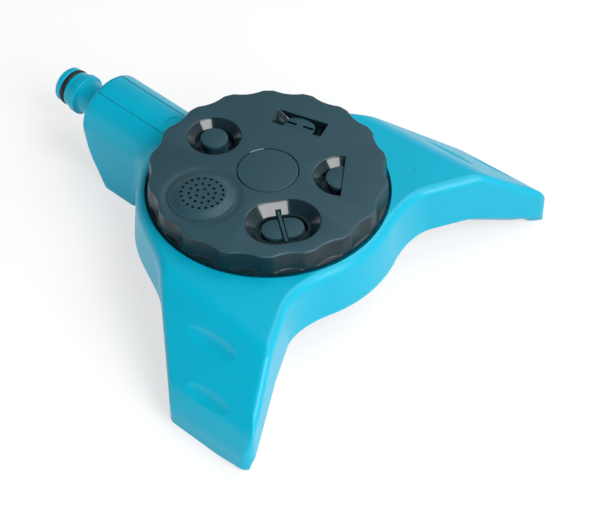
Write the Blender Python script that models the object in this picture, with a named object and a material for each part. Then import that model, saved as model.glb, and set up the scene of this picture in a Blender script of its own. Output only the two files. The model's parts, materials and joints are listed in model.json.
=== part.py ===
# Multi-pattern sprinkler: a moulded stand, an inlet pipe and a dial that carries five nozzles.
# Metres, +Z up. The dial turns about a vertical axis; the inlet nose points along -X.
import math

import bmesh
import bpy
import numpy as np
from mathutils import Matrix, Vector

# Clearances
GAP = 0.0003                     # between pieces that touch
CUT_MARGIN = 0.0010              # how far a cutter runs past the face that it opens

# Dial: the other pieces are set out from its top and its rim
DISC_TOP_Z = 0.0469
DISC_HEIGHT = 0.0102
DISC_RADIUS = 0.0480             # at the top, over the ridges
DISC_FLARE = 0.0007              # how much wider it is at its foot
DISC_PLATE = 0.0024
SKIRT_WALL = 0.0031
EDGE_CHAMFER = 0.0005
FLUTES = 18
FLUTE_PHASE = math.radians(2.5)
FLUTE_DEPTH = 0.0015
FLUTE_WIDTH_SHARE = 0.74         # of the pitch between flutes
FLUTE_STEPS = 5
LEDGE_HEIGHT = 0.0016            # of the plain band below the flutes

# Dial: nozzle housings under its top plate
NOZZLE_COUNT = 5
NOZZLE_PHASE = math.radians(36)
NOZZLE_INSET = 0.01835           # from the rim to the nozzle centres
BOSS_RADIUS = 0.0136
BOSS_HEIGHT = 0.0065             # from the dial's top
RECESS_DEPTH = 0.0030
BUTTON_DROP = 0.0008             # button tops lie this far under the dial's top
BUTTON_HEIGHT = 0.0016
SHANK_SHARE = 0.8                # of the button's size
RIM_SHARE = 0.97                 # of the button's size, inside its softened edge
SLOT_BORE_RADIUS = 0.0075
CONE_TOP_RADIUS = 0.0110
CONE_FOOT_RADIUS = 0.0081
CORE_RADIUS = 0.0056
OBROUND_STRAIGHT = 0.0033        # half of the straight run
OBROUND_TOP_RADIUS = 0.0118
OBROUND_FOOT_RADIUS = 0.0078
OBROUND_BORE_RADIUS = 0.0069
OBROUND_CORE_RADIUS = 0.0053
RIB_WIDTH = 0.0013
RIB_RISE = 0.0002                # above the button
NOTCH_DROP = 0.0010              # top of the notch behind the rib, under the dial's top
HALF_EDGE = 0.0006               # straight side of the half-circle nozzle
HALF_TOP_RADIUS = 0.0114
HALF_FOOT_RADIUS = 0.0088
HALF_BORE_RADIUS = 0.0081
HALF_CORE_RADIUS = 0.0064
SQUARE_OUTER = 0.0050
SQUARE_INNER = -0.0033
SQUARE_HALF_LENGTH = 0.0114
SQUARE_SLOPE_RUN = 0.0040        # the sloping end of the square recess
ISLAND_HALF_WIDTH = 0.0057
ISLAND_NOSE = 0.0046
ISLAND_SHOULDER = 0.0012
DASH_LENGTH = 0.0042
DASH_WIDTH = 0.0008
DASH_GAP = 0.0029
ROSE_FOOT_RADIUS = 0.0132
ROSE_DISH_RADIUS = 0.0160
ROSE_DISH_DEPTH = 0.0005
ROSE_RISE = 0.0016
ROSE_FLAT_RADIUS = 0.0095
ROSE_THICKNESS = 0.0016
ROSE_CHAMBER_RADIUS = 0.0102
ROSE_HOLE_RADIUS = 0.00052
ROSE_RINGS = ((20, 0.0084), (12, 0.00525), (5, 0.0025))

# Hub, cap and pivot
HUB_CLEARANCE = 0.00355          # between the well and the nozzle housings
HUB_WALL = 0.0015
HUB_DEPTH = 0.0049               # from the dial's top to the floor of the well
HUB_FLOOR = 0.0020
PIVOT_BOSS_RADIUS = 0.0065
PIVOT_SHANK_RADIUS = 0.0019
PIVOT_DEPTH = 0.0095
PIVOT_HEAD_RADIUS = 0.0050
PIVOT_HEAD_HEIGHT = 0.0016
WASHER_CLEARANCE = 0.0030        # between the washer and the well
WASHER_THICKNESS = 0.0010
CAP_THICKNESS = 0.0012
CAP_WALL = 0.0010

# Nozzle plate and what it clamps
PLATE_THICKNESS = 0.0029
FLANGE_THICKNESS = 0.0013
FLANGE_RADIUS = 0.0097
WATER_HOLE_RADIUS = 0.0010
WATER_HOLE_PITCH = 0.0066
WATER_HOLES = 4
GASKET_INNER = 0.0102
GASKET_OUTER = 0.0124
PLATE_SCREW_INSET = 0.0066       # from the plate's rim
PLATE_BOSS_RADIUS = 0.0032
PLATE_SHANK_RADIUS = 0.0013
PLATE_HEAD_RADIUS = 0.0026
PLATE_HEAD_HEIGHT = 0.0012
PLATE_SCREW_GRIP = 0.0045

# Click spring
DETENT_INSET = 0.0031            # from the plate's rim
DETENT_ANGLE = NOZZLE_PHASE
LEAF_LENGTH = 0.0160
LEAF_WIDTH = 0.0060
LEAF_THICKNESS = 0.0005
LEAF_FOOT_LENGTH = 0.0075
BUMP_RADIUS = 0.0007
BUMP_STRETCH = 1.4               # the bump is longer than it is high
DETENT_SHANK_RADIUS = 0.0009
DETENT_HEAD_RADIUS = 0.0020
DETENT_HEAD_HEIGHT = 0.0010

# Stand: the round ring, seen from above, and its pan
LIP_CLEARANCE = 0.0008           # between the dial's foot and the ring's lip
RING_WIDTH = 0.0037              # from the lip to the outer wall, at the deck
RING_FLARE = 0.0009              # how much wider the ring is at its lower edge
RING_FOOT_Z = 0.0149             # the ring's lower edge stands clear of the ground
SHOULDER_RADIUS = 0.0042
PAN_CLEARANCE = 0.0031           # between the nozzle plate and the pan's floor
PAN_DEPTH = 0.0045
PAN_THICKNESS = 0.0025
PAN_RIM_WIDTH = 0.0008           # solid rim outside the pan, under the lip
SHELL_WALL = 0.0025

# Stand: the wings, right-hand one; the other is its mirror image
WING_TIP_Y = 0.0920
WING_FRONT_X = 0.0759            # sharp corner of the front wall and the tip edge
WING_REAR_X = 0.0335             # sharp corner of the rear wall and the tip edge
FRONT_WALL_ANGLE = math.radians(28.0)    # from the Y axis
REAR_WALL_ANGLE = math.radians(48.4)     # from the Y axis
WING_START_X = -0.0200           # the wing is part of the ring behind this
FOLD_MARGIN = 0.0064             # from the ring to where the deck folds down, at x = 0
FOLD_SKEW = 0.082
WING_SLOPE = 0.828
FOLD_ROUNDING = 0.0044
FRONT_CORNER_RADIUS = 0.0062
REAR_CORNER_RADIUS = 0.0012
FRONT_BLEND_RADIUS = 0.0120      # concave corner of ring and front wall
REAR_BLEND_RADIUS = 0.0065       # concave corner of ring and rear wall
BLEND_CHANGE_X = 0.0220          # ahead of this the front radius holds
FRONT_EDGE_RADIUS = 0.0038
REAR_EDGE_RADIUS = 0.0016
FOOT_RISE_Y = 0.0595             # from here the wing's lower edge runs down to the foot
FOOT_RISE_SLOPE = 0.345
FOOT_LENGTH = 0.0022
FOOT_STEP = 0.0045

# Dimples in the wings, as centre and length; they lie along X
DIMPLES = (((0.0353, 0.0706), 0.026), ((0.0474, 0.0853), 0.021))
DIMPLE_WIDTH = 0.0072
DIMPLE_DEPTH = 0.0013

# Stand: the inlet housing, an arch whose end is the rear foot
ARCH_RADIUS = 0.0172
HOUSING_FLARE = 0.064            # the side walls lean out below the arch
HOUSING_END_X = -0.0921
END_BREAK_DROP = 0.0033          # below the pipe's axis by this the end wall leans in
END_LEAN = 0.677
END_EDGE_RADIUS = 0.0016
END_BREAK_RADIUS = 0.0073
HOUSING_INNER_X = -0.0400
HOUSING_BLEND_RADIUS = 0.0095    # concave corner of ring and housing
CREST_BLEND_RADIUS = 0.0025      # the same corner up at the deck
REAR_LEG_LENGTH = 0.0315         # along the ground from the end wall's plane
REAR_LEG_RAMP = 0.0015
SLEEVE_WALL = 0.0020             # sleeve of the end wall round the inlet nose
SLEEVE_RISE = 0.0004
SLEEVE_LENGTH = 0.0110

# Inlet manifold
PIPE_RADIUS = 0.0068
BORE_RADIUS = 0.0045
NOSE_LENGTH = 0.0262             # from the end wall to the tip
NOSE_FLANGE_RADIUS = 0.0078
NOSE_CHAMFER = 0.0008
NOSE_RADIUS = 0.0080
O_RING_SETBACK = 0.0045          # from the tip to the middle of the seal ring
O_RING_RADIUS = 0.00815
O_RING_WIRE = 0.00125
COLLAR_SETBACK = 0.0053          # from the seal ring to the collar
COLLAR_LENGTH = 0.0035
COLLAR_RADIUS = 0.0089
NECK_RADIUS = 0.0071
FLARE_LENGTH = 0.0060            # the neck widens over this length to the end wall
FLARE_RADIUS = 0.0090
PANEL_HALF_WIDTH = 0.0067
PANEL_THICKNESS = 0.0025
POINTER_RADIUS = 0.0065
POINTER_DEPTH = 0.0008
WEB_HALF_WIDTH = 0.00125
WEB_SETBACK = 0.0131             # from the end wall
WEB_LENGTH = 0.0220

# Port cup, seal and spring under the nozzle that works
CUP_RADIUS = 0.0093
CUP_BORE_RADIUS = 0.0073
CUP_CLEARANCE = 0.0020           # between the cup and the nozzle plate
CUP_DEPTH = 0.0054
SEAT_HEIGHT = 0.0053             # of the cup's seat over the pipe's axis
CUP_FOOT_RISE = 0.0009           # of the cup's foot over the pipe's underside
PORT_RADIUS = 0.0040
SEAL_BORE_RADIUS = 0.0036
SEAL_HEIGHT = 0.0029
SEAL_CHAMFER = 0.0008
SPRING_RADIUS = 0.0055
SPRING_WIRE = 0.00045
SPRING_COILS = 2.5

# Screws that hold the manifold under the pan
EAR_REACH = 0.0150               # from the cup's axis to each screw
EAR_THICKNESS = 0.0025
EAR_HALF_WIDTH = 0.0036
HANGING_BOSS_LENGTH = 0.0040
HANGING_BOSS_RADIUS = 0.0036
FIXING_SHANK_RADIUS = 0.0014
FIXING_HEAD_RADIUS = 0.0027
FIXING_HEAD_HEIGHT = 0.0018
FIXING_GRIP = 0.0030             # how far a fixing screw reaches into its boss

# Facets
STAND_HALF_SIDES = 38
ARCH_HALF_SIDES = 6
STAND_OUTER_LOOPS = 10
STAND_INNER_LOOPS = 6
ROSE_STEPS = 3
ROUND_SIDES = 20
SMALL_SIDES = 10
HOLE_SIDES = 6
WELD_DISTANCE = 0.000003
TRACE_STEPS = 160
TRACE_REACH = 0.150
TRACE_DIRECTIONS = 3001
TRACE_HALVINGS = 34
CORNER_APART = math.radians(0.4)
SHADE_ANGLE = math.radians(32)

# Heights, worked out from the dial's top down to the pipe
BUTTON_TOP_Z = DISC_TOP_Z - BUTTON_DROP
RECESS_FLOOR_Z = DISC_TOP_Z - RECESS_DEPTH
HUB_FLOOR_Z = DISC_TOP_Z - HUB_DEPTH
BOSS_FOOT_Z = DISC_TOP_Z - BOSS_HEIGHT
FLANGE_FOOT_Z = BOSS_FOOT_Z - GAP - FLANGE_THICKNESS
PLATE_TOP_Z = FLANGE_FOOT_Z - GAP
PLATE_FOOT_Z = PLATE_TOP_Z - PLATE_THICKNESS
DISC_FOOT_Z = DISC_TOP_Z - DISC_HEIGHT
LEDGE_Z = DISC_FOOT_Z + LEDGE_HEIGHT
PAN_FLOOR_Z = PLATE_FOOT_Z - PAN_CLEARANCE
PAN_CEILING_Z = PAN_FLOOR_Z - PAN_THICKNESS
DECK_Z = PAN_FLOOR_Z + PAN_DEPTH
SEAL_TOP_Z = PLATE_FOOT_Z - GAP
CUP_TOP_Z = PLATE_FOOT_Z - CUP_CLEARANCE
CUP_SEAT_Z = CUP_TOP_Z - CUP_DEPTH
PIPE_Z = CUP_SEAT_Z - SEAT_HEIGHT
CUP_FOOT_Z = PIPE_Z - PIPE_RADIUS + CUP_FOOT_RISE
HANGING_BOSS_FOOT_Z = PAN_CEILING_Z - HANGING_BOSS_LENGTH
EAR_TOP_Z = HANGING_BOSS_FOOT_Z - GAP
END_BREAK_Z = PIPE_Z - END_BREAK_DROP

# Radii, worked out from the dial's rim
DISC_FOOT_RADIUS = DISC_RADIUS + DISC_FLARE
PITCH_RADIUS = DISC_RADIUS - NOZZLE_INSET
SKIRT_INNER_RADIUS = DISC_RADIUS - SKIRT_WALL
PLATE_RADIUS = SKIRT_INNER_RADIUS - GAP
PLATE_SCREW_PITCH = PLATE_RADIUS - PLATE_SCREW_INSET
DETENT_PITCH = PLATE_RADIUS - DETENT_INSET
LIP_RADIUS = DISC_FOOT_RADIUS + LIP_CLEARANCE
RING_RADIUS = LIP_RADIUS + RING_WIDTH
FOLD_Y = RING_RADIUS + FOLD_MARGIN
HUB_WELL_RADIUS = PITCH_RADIUS - BOSS_RADIUS - HUB_CLEARANCE
WASHER_RADIUS = HUB_WELL_RADIUS - WASHER_CLEARANCE
CAP_RADIUS = HUB_WELL_RADIUS - GAP
SEAL_RADIUS = CUP_BORE_RADIUS - GAP
O_RING_CENTRE_RADIUS = O_RING_RADIUS - O_RING_WIRE
NOTCH_RADIUS = 2 * BUMP_RADIUS + GAP

# Places along the inlet, worked out from the housing's end wall
REAR_LEG_X = HOUSING_END_X + REAR_LEG_LENGTH
NOSE_TIP_X = HOUSING_END_X - NOSE_LENGTH
O_RING_X = NOSE_TIP_X + O_RING_SETBACK
COLLAR_FRONT_X = O_RING_X + COLLAR_SETBACK
COLLAR_BACK_X = COLLAR_FRONT_X + COLLAR_LENGTH
NECK_BACK_X = HOUSING_END_X - FLARE_LENGTH
PANEL_END_X = HOUSING_END_X + END_EDGE_RADIUS
PANEL_DISC_X = -(LIP_RADIUS + GAP)
WEB_START_X = HOUSING_END_X + WEB_SETBACK
WEB_END_X = WEB_START_X + WEB_LENGTH


def rounded_and(a, b, radius):
    # The overlap of two solids given by their distances, with a rounded edge
    edge = np.hypot(np.maximum(a + radius, 0), np.maximum(b + radius, 0))
    return np.minimum(-radius, np.maximum(a, b)) + edge


def rounded_or(a, b, radius):
    # Two solids joined, with a rounded inside corner
    corner = np.hypot(np.maximum(radius - a, 0), np.maximum(radius - b, 0))
    return np.maximum(radius, np.minimum(a, b)) - corner


def ramp(value, low, high):
    t = np.clip((value - low) / (high - low), 0, 1)
    return t * t * (3 - 2 * t)


def wing_walls(x, y):
    # Distances outside the front wall, the rear wall and the tip edge
    front = ((x - WING_FRONT_X) * math.cos(FRONT_WALL_ANGLE)
             - (y - WING_TIP_Y) * math.sin(FRONT_WALL_ANGLE))
    rear = (-(x - WING_REAR_X) * math.cos(REAR_WALL_ANGLE)
            + (y - WING_TIP_Y) * math.sin(REAR_WALL_ANGLE))
    return front, rear, y - WING_TIP_Y


def stand_plan(x, y, z):
    # The ring and the wings seen from above
    radius = RING_RADIUS + RING_FLARE * (DECK_Z - z) / (DECK_Z - RING_FOOT_Z)
    ring = np.hypot(x, y) - radius
    front, rear, tip = wing_walls(x, y)
    wing = rounded_and(front, tip, FRONT_CORNER_RADIUS)
    wing = rounded_and(wing, rear, REAR_CORNER_RADIUS)
    wing = np.maximum(wing, WING_START_X - x)
    blend = np.where(x > BLEND_CHANGE_X, FRONT_BLEND_RADIUS, REAR_BLEND_RADIUS)
    return rounded_or(ring, wing, blend)


def wing_surface_z(x, y):
    return DECK_Z - WING_SLOPE * (y - FOLD_Y - FOLD_SKEW * x)


def stand_top(x, y, z):
    # The flat deck, folding down into the sloping wing
    wing_z = wing_surface_z(x, y)
    slant = math.sqrt(1 + WING_SLOPE ** 2 * (1 + FOLD_SKEW ** 2))
    return rounded_and(z - DECK_Z, (z - wing_z) / slant, FOLD_ROUNDING)


def stand_edge(x, y):
    # Radius of the top edge: wide on the ring and in front, tight at the rear of a wing
    rear = wing_walls(x, y)[1]
    radius = np.hypot(x, y)
    outside = ramp(radius, RING_RADIUS + REAR_BLEND_RADIUS / 3, RING_RADIUS + 2 * REAR_BLEND_RADIUS)
    front_radius = SHOULDER_RADIUS + (FRONT_EDGE_RADIUS - SHOULDER_RADIUS) * outside
    share = outside * ramp(rear, -3 * REAR_BLEND_RADIUS, -REAR_BLEND_RADIUS / 3)
    return front_radius + (REAR_EDGE_RADIUS - front_radius) * share


def housing(x, y, z):
    above = np.hypot(y, z - PIPE_Z) - ARCH_RADIUS
    below = y - (ARCH_RADIUS + HOUSING_FLARE * (PIPE_Z - z))
    side = np.where(z > PIPE_Z, above, below)
    lean_x = HOUSING_END_X + END_LEAN * (END_BREAK_Z - z)
    lower_end = (lean_x - x) / math.hypot(1, END_LEAN)
    end = rounded_and(HOUSING_END_X - x, lower_end, END_BREAK_RADIUS)
    return np.maximum(rounded_and(side, end, END_EDGE_RADIUS), x - HOUSING_INNER_X)


def stand_solid(x, y, z):
    # Negative inside the outer skin of the stand
    y = np.abs(y)
    body = rounded_and(stand_plan(x, y, z), stand_top(x, y, z), stand_edge(x, y))
    high = ramp(z, DECK_Z - 2 * SHOULDER_RADIUS, DECK_Z)
    blend = HOUSING_BLEND_RADIUS + (CREST_BLEND_RADIUS - HOUSING_BLEND_RADIUS) * high
    return rounded_or(body, housing(x, y, z), blend)


def stand_hollow(x, y, z):
    # Negative in the space under the skin
    return stand_solid(x, y, z) + SHELL_WALL


def outermost(field, x_way, y_way, z_way, start_x, start_y, start_z):
    # Distance along each ray to where it leaves the solid
    near = np.zeros(np.broadcast(x_way, z_way, start_z).shape)
    far = np.full_like(near, TRACE_REACH)
    for _ in range(TRACE_HALVINGS):
        middle = (near + far) / 2
        inside = field(start_x + middle * x_way, start_y + middle * y_way, start_z + middle * z_way) < 0
        near = np.where(inside, middle, near)
        far = np.where(inside, far, middle)
    return far


def spaced(across, up, count, turn_share=0.5):
    # Points along a curve, spaced partly by length and partly by how much the curve turns
    step_across = np.diff(across)
    step_up = np.diff(up)
    length = np.hypot(step_across, step_up)
    heading = np.unwrap(np.arctan2(step_up, step_across))
    turn = np.abs(np.diff(heading))
    turn = np.concatenate(([0], turn)) + np.concatenate((turn, [0]))
    weight = (1 - turn_share) * length / length.sum() + turn_share * turn / max(turn.sum(), 1e-9)
    place = np.concatenate(([0], np.cumsum(weight)))
    place /= place[-1]
    wanted = np.linspace(0, 1, count + 1)
    return np.interp(wanted, place, across), np.interp(wanted, place, up)


def stand_directions():
    # Directions round the stand from the front to the inlet, closer together at the corners
    housing_corner = math.atan2(ARCH_RADIUS, HOUSING_END_X)
    angle = np.linspace(0, housing_corner, TRACE_DIRECTIONS)
    mid_z = np.full_like(angle, RING_FOOT_Z / 2)
    radius = outermost(stand_solid, np.cos(angle), np.sin(angle), 0 * angle, 0, 0, mid_z)
    across, up = radius * np.cos(angle), radius * np.sin(angle)
    x, y = spaced(across, up, STAND_HALF_SIDES)
    directions = np.arctan2(y, x)
    # The feet start and end at directions of their own
    last = len(angle) - 1
    corners = []
    for side in (FOOT_STEP, 0):
        level = up > WING_TIP_Y - FOOT_LENGTH - side
        corners += [angle[np.argmax(level)], angle[last - np.argmax(level[::-1])]]
    for side in (REAR_LEG_RAMP, 0):
        corners.append(angle[last - np.argmax(across[::-1] > REAR_LEG_X + side)])
    apart = np.abs(directions[:, None] - np.array(corners)).min(axis=1)
    directions = np.sort(np.concatenate((directions[apart > CORNER_APART], corners)))
    arch = np.linspace(math.pi / 2, 0, ARCH_HALF_SIDES + 1)[1:]
    return np.concatenate((directions, np.arctan2(ARCH_RADIUS * np.sin(arch), HOUSING_END_X)))


def foot_height(x, y):
    # Height of the stand's lower edge: the ring is clear of the ground, three feet reach it
    sloping = RING_FOOT_Z - FOOT_RISE_SLOPE * (y - FOOT_RISE_Y)
    height = np.minimum(sloping, RING_FOOT_Z)
    foot_y = WING_TIP_Y - FOOT_LENGTH
    height = height * (1 - ramp(y, foot_y - FOOT_STEP, foot_y))
    return height * ramp(x, REAR_LEG_X, REAR_LEG_X + REAR_LEG_RAMP)


def stand_profiles(angle):
    # For each direction, the skin from the lip down to the lower edge, and the hollow's skin
    cos_a = np.cos(angle)[:, None]
    sin_a = np.sin(angle)[:, None]
    zero = np.zeros_like(cos_a)
    plan = outermost(stand_solid, cos_a, sin_a, zero, 0, 0, zero + RING_FOOT_Z / 2)
    foot = foot_height(plan * cos_a, plan * sin_a)
    lip_z = outermost(stand_solid, zero, zero, zero + 1, LIP_RADIUS * cos_a, LIP_RADIUS * sin_a, foot) + foot
    outer_start = LIP_RADIUS - 2 * SHOULDER_RADIUS
    first = np.arctan2(lip_z - foot, LIP_RADIUS - outer_start)
    outer = section(stand_solid, cos_a, sin_a, outer_start, foot, first, STAND_OUTER_LOOPS, 0.5)
    inner_start = LIP_RADIUS - 4 * SHOULDER_RADIUS
    # The hollow's curve starts on the line that grazes the lower edge of the pan's rim
    corner = np.arctan2(PAN_CEILING_Z - foot, LIP_RADIUS + PAN_RIM_WIDTH - inner_start)
    inner = section(stand_hollow, cos_a, sin_a, inner_start, foot, corner, STAND_INNER_LOOPS, 0.7)
    return outer, inner


def section(field, cos_a, sin_a, start_r, start_z, first, count, turn_share):
    # A curve (radius, height) for each direction, traced by rays that fan down from first
    sweep = first * np.linspace(1, 0, TRACE_STEPS)[None, :]
    along = np.cos(sweep)
    distance = outermost(field, along * cos_a, along * sin_a, np.sin(sweep),
                         start_r * cos_a, start_r * sin_a, start_z)
    radius = start_r + distance * along
    height = start_z + distance * np.sin(sweep)
    return [spaced(r, z, count, turn_share) for r, z in zip(radius, height)]


def new_empty(name, x=0.0, y=0.0):
    empty = bpy.data.objects.new(name, None)
    empty.location = (x, y, 0)
    bpy.context.scene.collection.objects.link(empty)
    return empty


def new_material(name, colour, roughness, metallic=0.0):
    material = bpy.data.materials.new(name)
    material.use_nodes = True
    shader = material.node_tree.nodes["Principled BSDF"]
    shader.inputs["Base Color"].default_value = (*colour, 1)
    shader.inputs["Roughness"].default_value = roughness
    shader.inputs["Metallic"].default_value = metallic
    material.diffuse_color = (*colour, 1)
    return material


def new_object(name, bm, material, parent):
    bmesh.ops.recalc_face_normals(bm, faces=bm.faces)
    mesh = bpy.data.meshes.new(name)
    bm.to_mesh(mesh)
    bm.free()
    mesh.shade_smooth()
    mesh.set_sharp_from_angle(angle=SHADE_ANGLE)
    obj = bpy.data.objects.new(name, mesh)
    obj.parent = parent
    if material:
        mesh.materials.append(material)
    else:
        obj.hide_render = True
        obj.display_type = "WIRE"
    bpy.context.scene.collection.objects.link(obj)
    return obj


def boolean(obj, operation, operand):
    modifier = obj.modifiers.new(operand.name, "BOOLEAN")
    modifier.operation = operation
    modifier.solver = "EXACT"
    modifier.object = operand
    weld = obj.modifiers.new("weld", "WELD")
    weld.merge_threshold = WELD_DISTANCE


def close_loops(bm, loops, ring=False):
    # Faces between loops of vertices; a loop of one vertex is a pole
    pairs = list(zip(loops, loops[1:]))
    if ring:
        pairs.append((loops[-1], loops[0]))
    for low, high in pairs:
        count = max(len(low), len(high))
        for i in range(count):
            j = (i + 1) % count
            corners = [low[i % len(low)], low[j % len(low)], high[j % len(high)], high[i % len(high)]]
            face = list(dict.fromkeys(corners))
            bm.faces.new(face)


def add_loop(bm, points, matrix):
    return [bm.verts.new(matrix @ Vector(p)) for p in points]


def turned(bm, profile, sides=ROUND_SIDES, matrix=Matrix.Identity(4), ring=False):
    # A profile of (radius, height) turned about Z; a radius of 0 is a point on the axis
    loops = []
    for radius, height in profile:
        if radius == 0:
            loops.append(add_loop(bm, [(0, 0, height)], matrix))
            continue
        angles = [2 * math.pi * i / sides for i in range(sides)]
        points = [(radius * math.cos(a), radius * math.sin(a), height) for a in angles]
        loops.append(add_loop(bm, points, matrix))
    close_loops(bm, loops, ring)


def stacked(bm, layers, matrix=Matrix.Identity(4)):
    # Outlines of the same number of points, each at its height, closed at both ends
    loops = [add_loop(bm, [(x, y, z) for x, y in outline], matrix) for outline, z in layers]
    close_loops(bm, loops)
    bm.faces.new(loops[0])
    bm.faces.new(loops[-1])


def cylinder(bm, radius, low, high, sides=ROUND_SIDES, matrix=Matrix.Identity(4)):
    turned(bm, [(0, low), (radius, low), (radius, high), (0, high)], sides, matrix)


def tube(bm, inner, outer, low, high, sides=ROUND_SIDES, matrix=Matrix.Identity(4)):
    turned(bm, [(inner, low), (outer, low), (outer, high), (inner, high)], sides, matrix, ring=True)


def box(bm, low, high, matrix=Matrix.Identity(4)):
    outline = [(low[0], low[1]), (high[0], low[1]), (high[0], high[1]), (low[0], high[1])]
    stacked(bm, [(outline, low[2]), (outline, high[2])], matrix)


def arc(radius, start, end, steps, centre=(0.0, 0.0)):
    angles = [start + (end - start) * i / steps for i in range(steps + 1)]
    return [(centre[0] + radius * math.cos(a), centre[1] + radius * math.sin(a)) for a in angles]


def obround(straight, radius, steps=ROUND_SIDES // 2):
    # A slot outline, long along Y
    far = arc(radius, 0, math.pi, steps, (0, straight))
    near = arc(radius, math.pi, 2 * math.pi, steps, (0, -straight))
    return far + near


def half_disc(edge, radius, steps=ROUND_SIDES // 2):
    # The part of a disc on the inner side of a straight edge
    half = math.acos(edge / radius)
    return arc(radius, half, 2 * math.pi - half, steps)


def arch_outline(inner, shoulder, nose, half_width, steps=ROUND_SIDES // 2):
    # A tongue that starts square at the inner side and ends in half an ellipse
    angles = [-math.pi / 2 + math.pi * i / steps for i in range(steps + 1)]
    curve = [(shoulder + (nose - shoulder) * math.cos(a), half_width * math.sin(a)) for a in angles]
    return [(inner, -half_width)] + curve + [(inner, half_width)]


def around(radius, angle):
    # The frame of a feature on the dial: X outward, Y along the turn
    return Matrix.Rotation(angle, 4, "Z") @ Matrix.Translation((radius, 0, 0))


def nozzle_frame(index):
    return around(PITCH_RADIUS, NOZZLE_PHASE + 2 * math.pi * index / NOZZLE_COUNT)


def arch_layer(radius, half_width, steps=6):
    # Part of the housing's arch, as (y, z) points
    reach = math.asin(half_width / radius)
    angles = [reach - 2 * reach * i / steps for i in range(steps + 1)]
    return [(radius * math.sin(a), PIPE_Z + radius * math.cos(a)) for a in angles]


def arch_strip(bm, half_width, inner, outer, start_x, end_x):
    # A strip of the arch with upright sides, from start_x to end_x
    outline = arch_layer(outer, half_width) + arch_layer(inner, half_width)[::-1]
    loops = [[bm.verts.new((x, y, z)) for y, z in outline] for x in (start_x, end_x)]
    close_loops(bm, loops)
    bm.faces.new(loops[0])
    bm.faces.new(loops[1])


def fixing_places():
    # Screws round the port cup: one each side of it and one past it
    return [(-PITCH_RADIUS, EAR_REACH), (-PITCH_RADIUS, -EAR_REACH), (EAR_REACH - PITCH_RADIUS, 0)]


def ear_outline():
    # One tee-shaped plate: a bar across the cup and a tongue past it
    half = EAR_HALF_WIDTH
    left, right = -PITCH_RADIUS - half, -PITCH_RADIUS + half
    end_y = EAR_REACH + half
    end_x = EAR_REACH - PITCH_RADIUS + half
    return [(left, -end_y), (right, -end_y), (right, -half), (end_x, -half),
            (end_x, half), (right, half), (right, end_y), (left, end_y)]


def detent_frame():
    return around(DETENT_PITCH, DETENT_ANGLE)


def detent_screw_frame():
    return detent_frame() @ Matrix.Translation((0, LEAF_FOOT_LENGTH / 2 - LEAF_LENGTH, 0))


def make_stand_skin():
    half = stand_directions()
    outer, inner = stand_profiles(half)
    mirror = list(range(len(half) - 2, 0, -1))
    angle = np.concatenate((half, -half[mirror]))
    outer = outer + [outer[i] for i in mirror]
    inner = inner + [inner[i] for i in mirror]
    bm = bmesh.new()

    def loop(places):
        return [bm.verts.new((r * math.cos(a), r * math.sin(a), z)) for (r, z), a in zip(places, angle)]

    count = len(angle)
    loops = [[bm.verts.new((0, 0, PAN_FLOOR_Z))]]
    loops.append(loop([(LIP_RADIUS, PAN_FLOOR_Z)] * count))
    for k in range(STAND_OUTER_LOOPS + 1):
        loops.append(loop([(r[k], z[k]) for r, z in outer]))
    for k in range(STAND_INNER_LOOPS, -1, -1):
        loops.append(loop([(r[k], z[k]) for r, z in inner]))
    loops.append(loop([(LIP_RADIUS + PAN_RIM_WIDTH, PAN_CEILING_Z)] * count))
    loops.append([bm.verts.new((0, 0, PAN_CEILING_Z))])
    close_loops(bm, loops)
    return bm


def add_dimples(bm):
    # Shallow lenses: slices of wide ellipsoids sunk into the sloping wing
    for (x, y), length in DIMPLES:
        for side in (1, -1):
            depth = 3 * DIMPLE_DEPTH
            sink = math.sqrt(1 - (1 - DIMPLE_DEPTH / depth) ** 2)
            size = Matrix.Diagonal((length / 2 / sink, DIMPLE_WIDTH / 2 / sink, depth, 1))
            tilt = Matrix.Rotation(-side * math.atan(WING_SLOPE), 4, "X")
            lift = wing_surface_z(x, y) + depth - DIMPLE_DEPTH
            frame = Matrix.Translation((x, side * y, lift)) @ tilt @ size
            bmesh.ops.create_uvsphere(bm, u_segments=SMALL_SIDES, v_segments=HOLE_SIDES, radius=1,
                                      matrix=frame)


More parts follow.
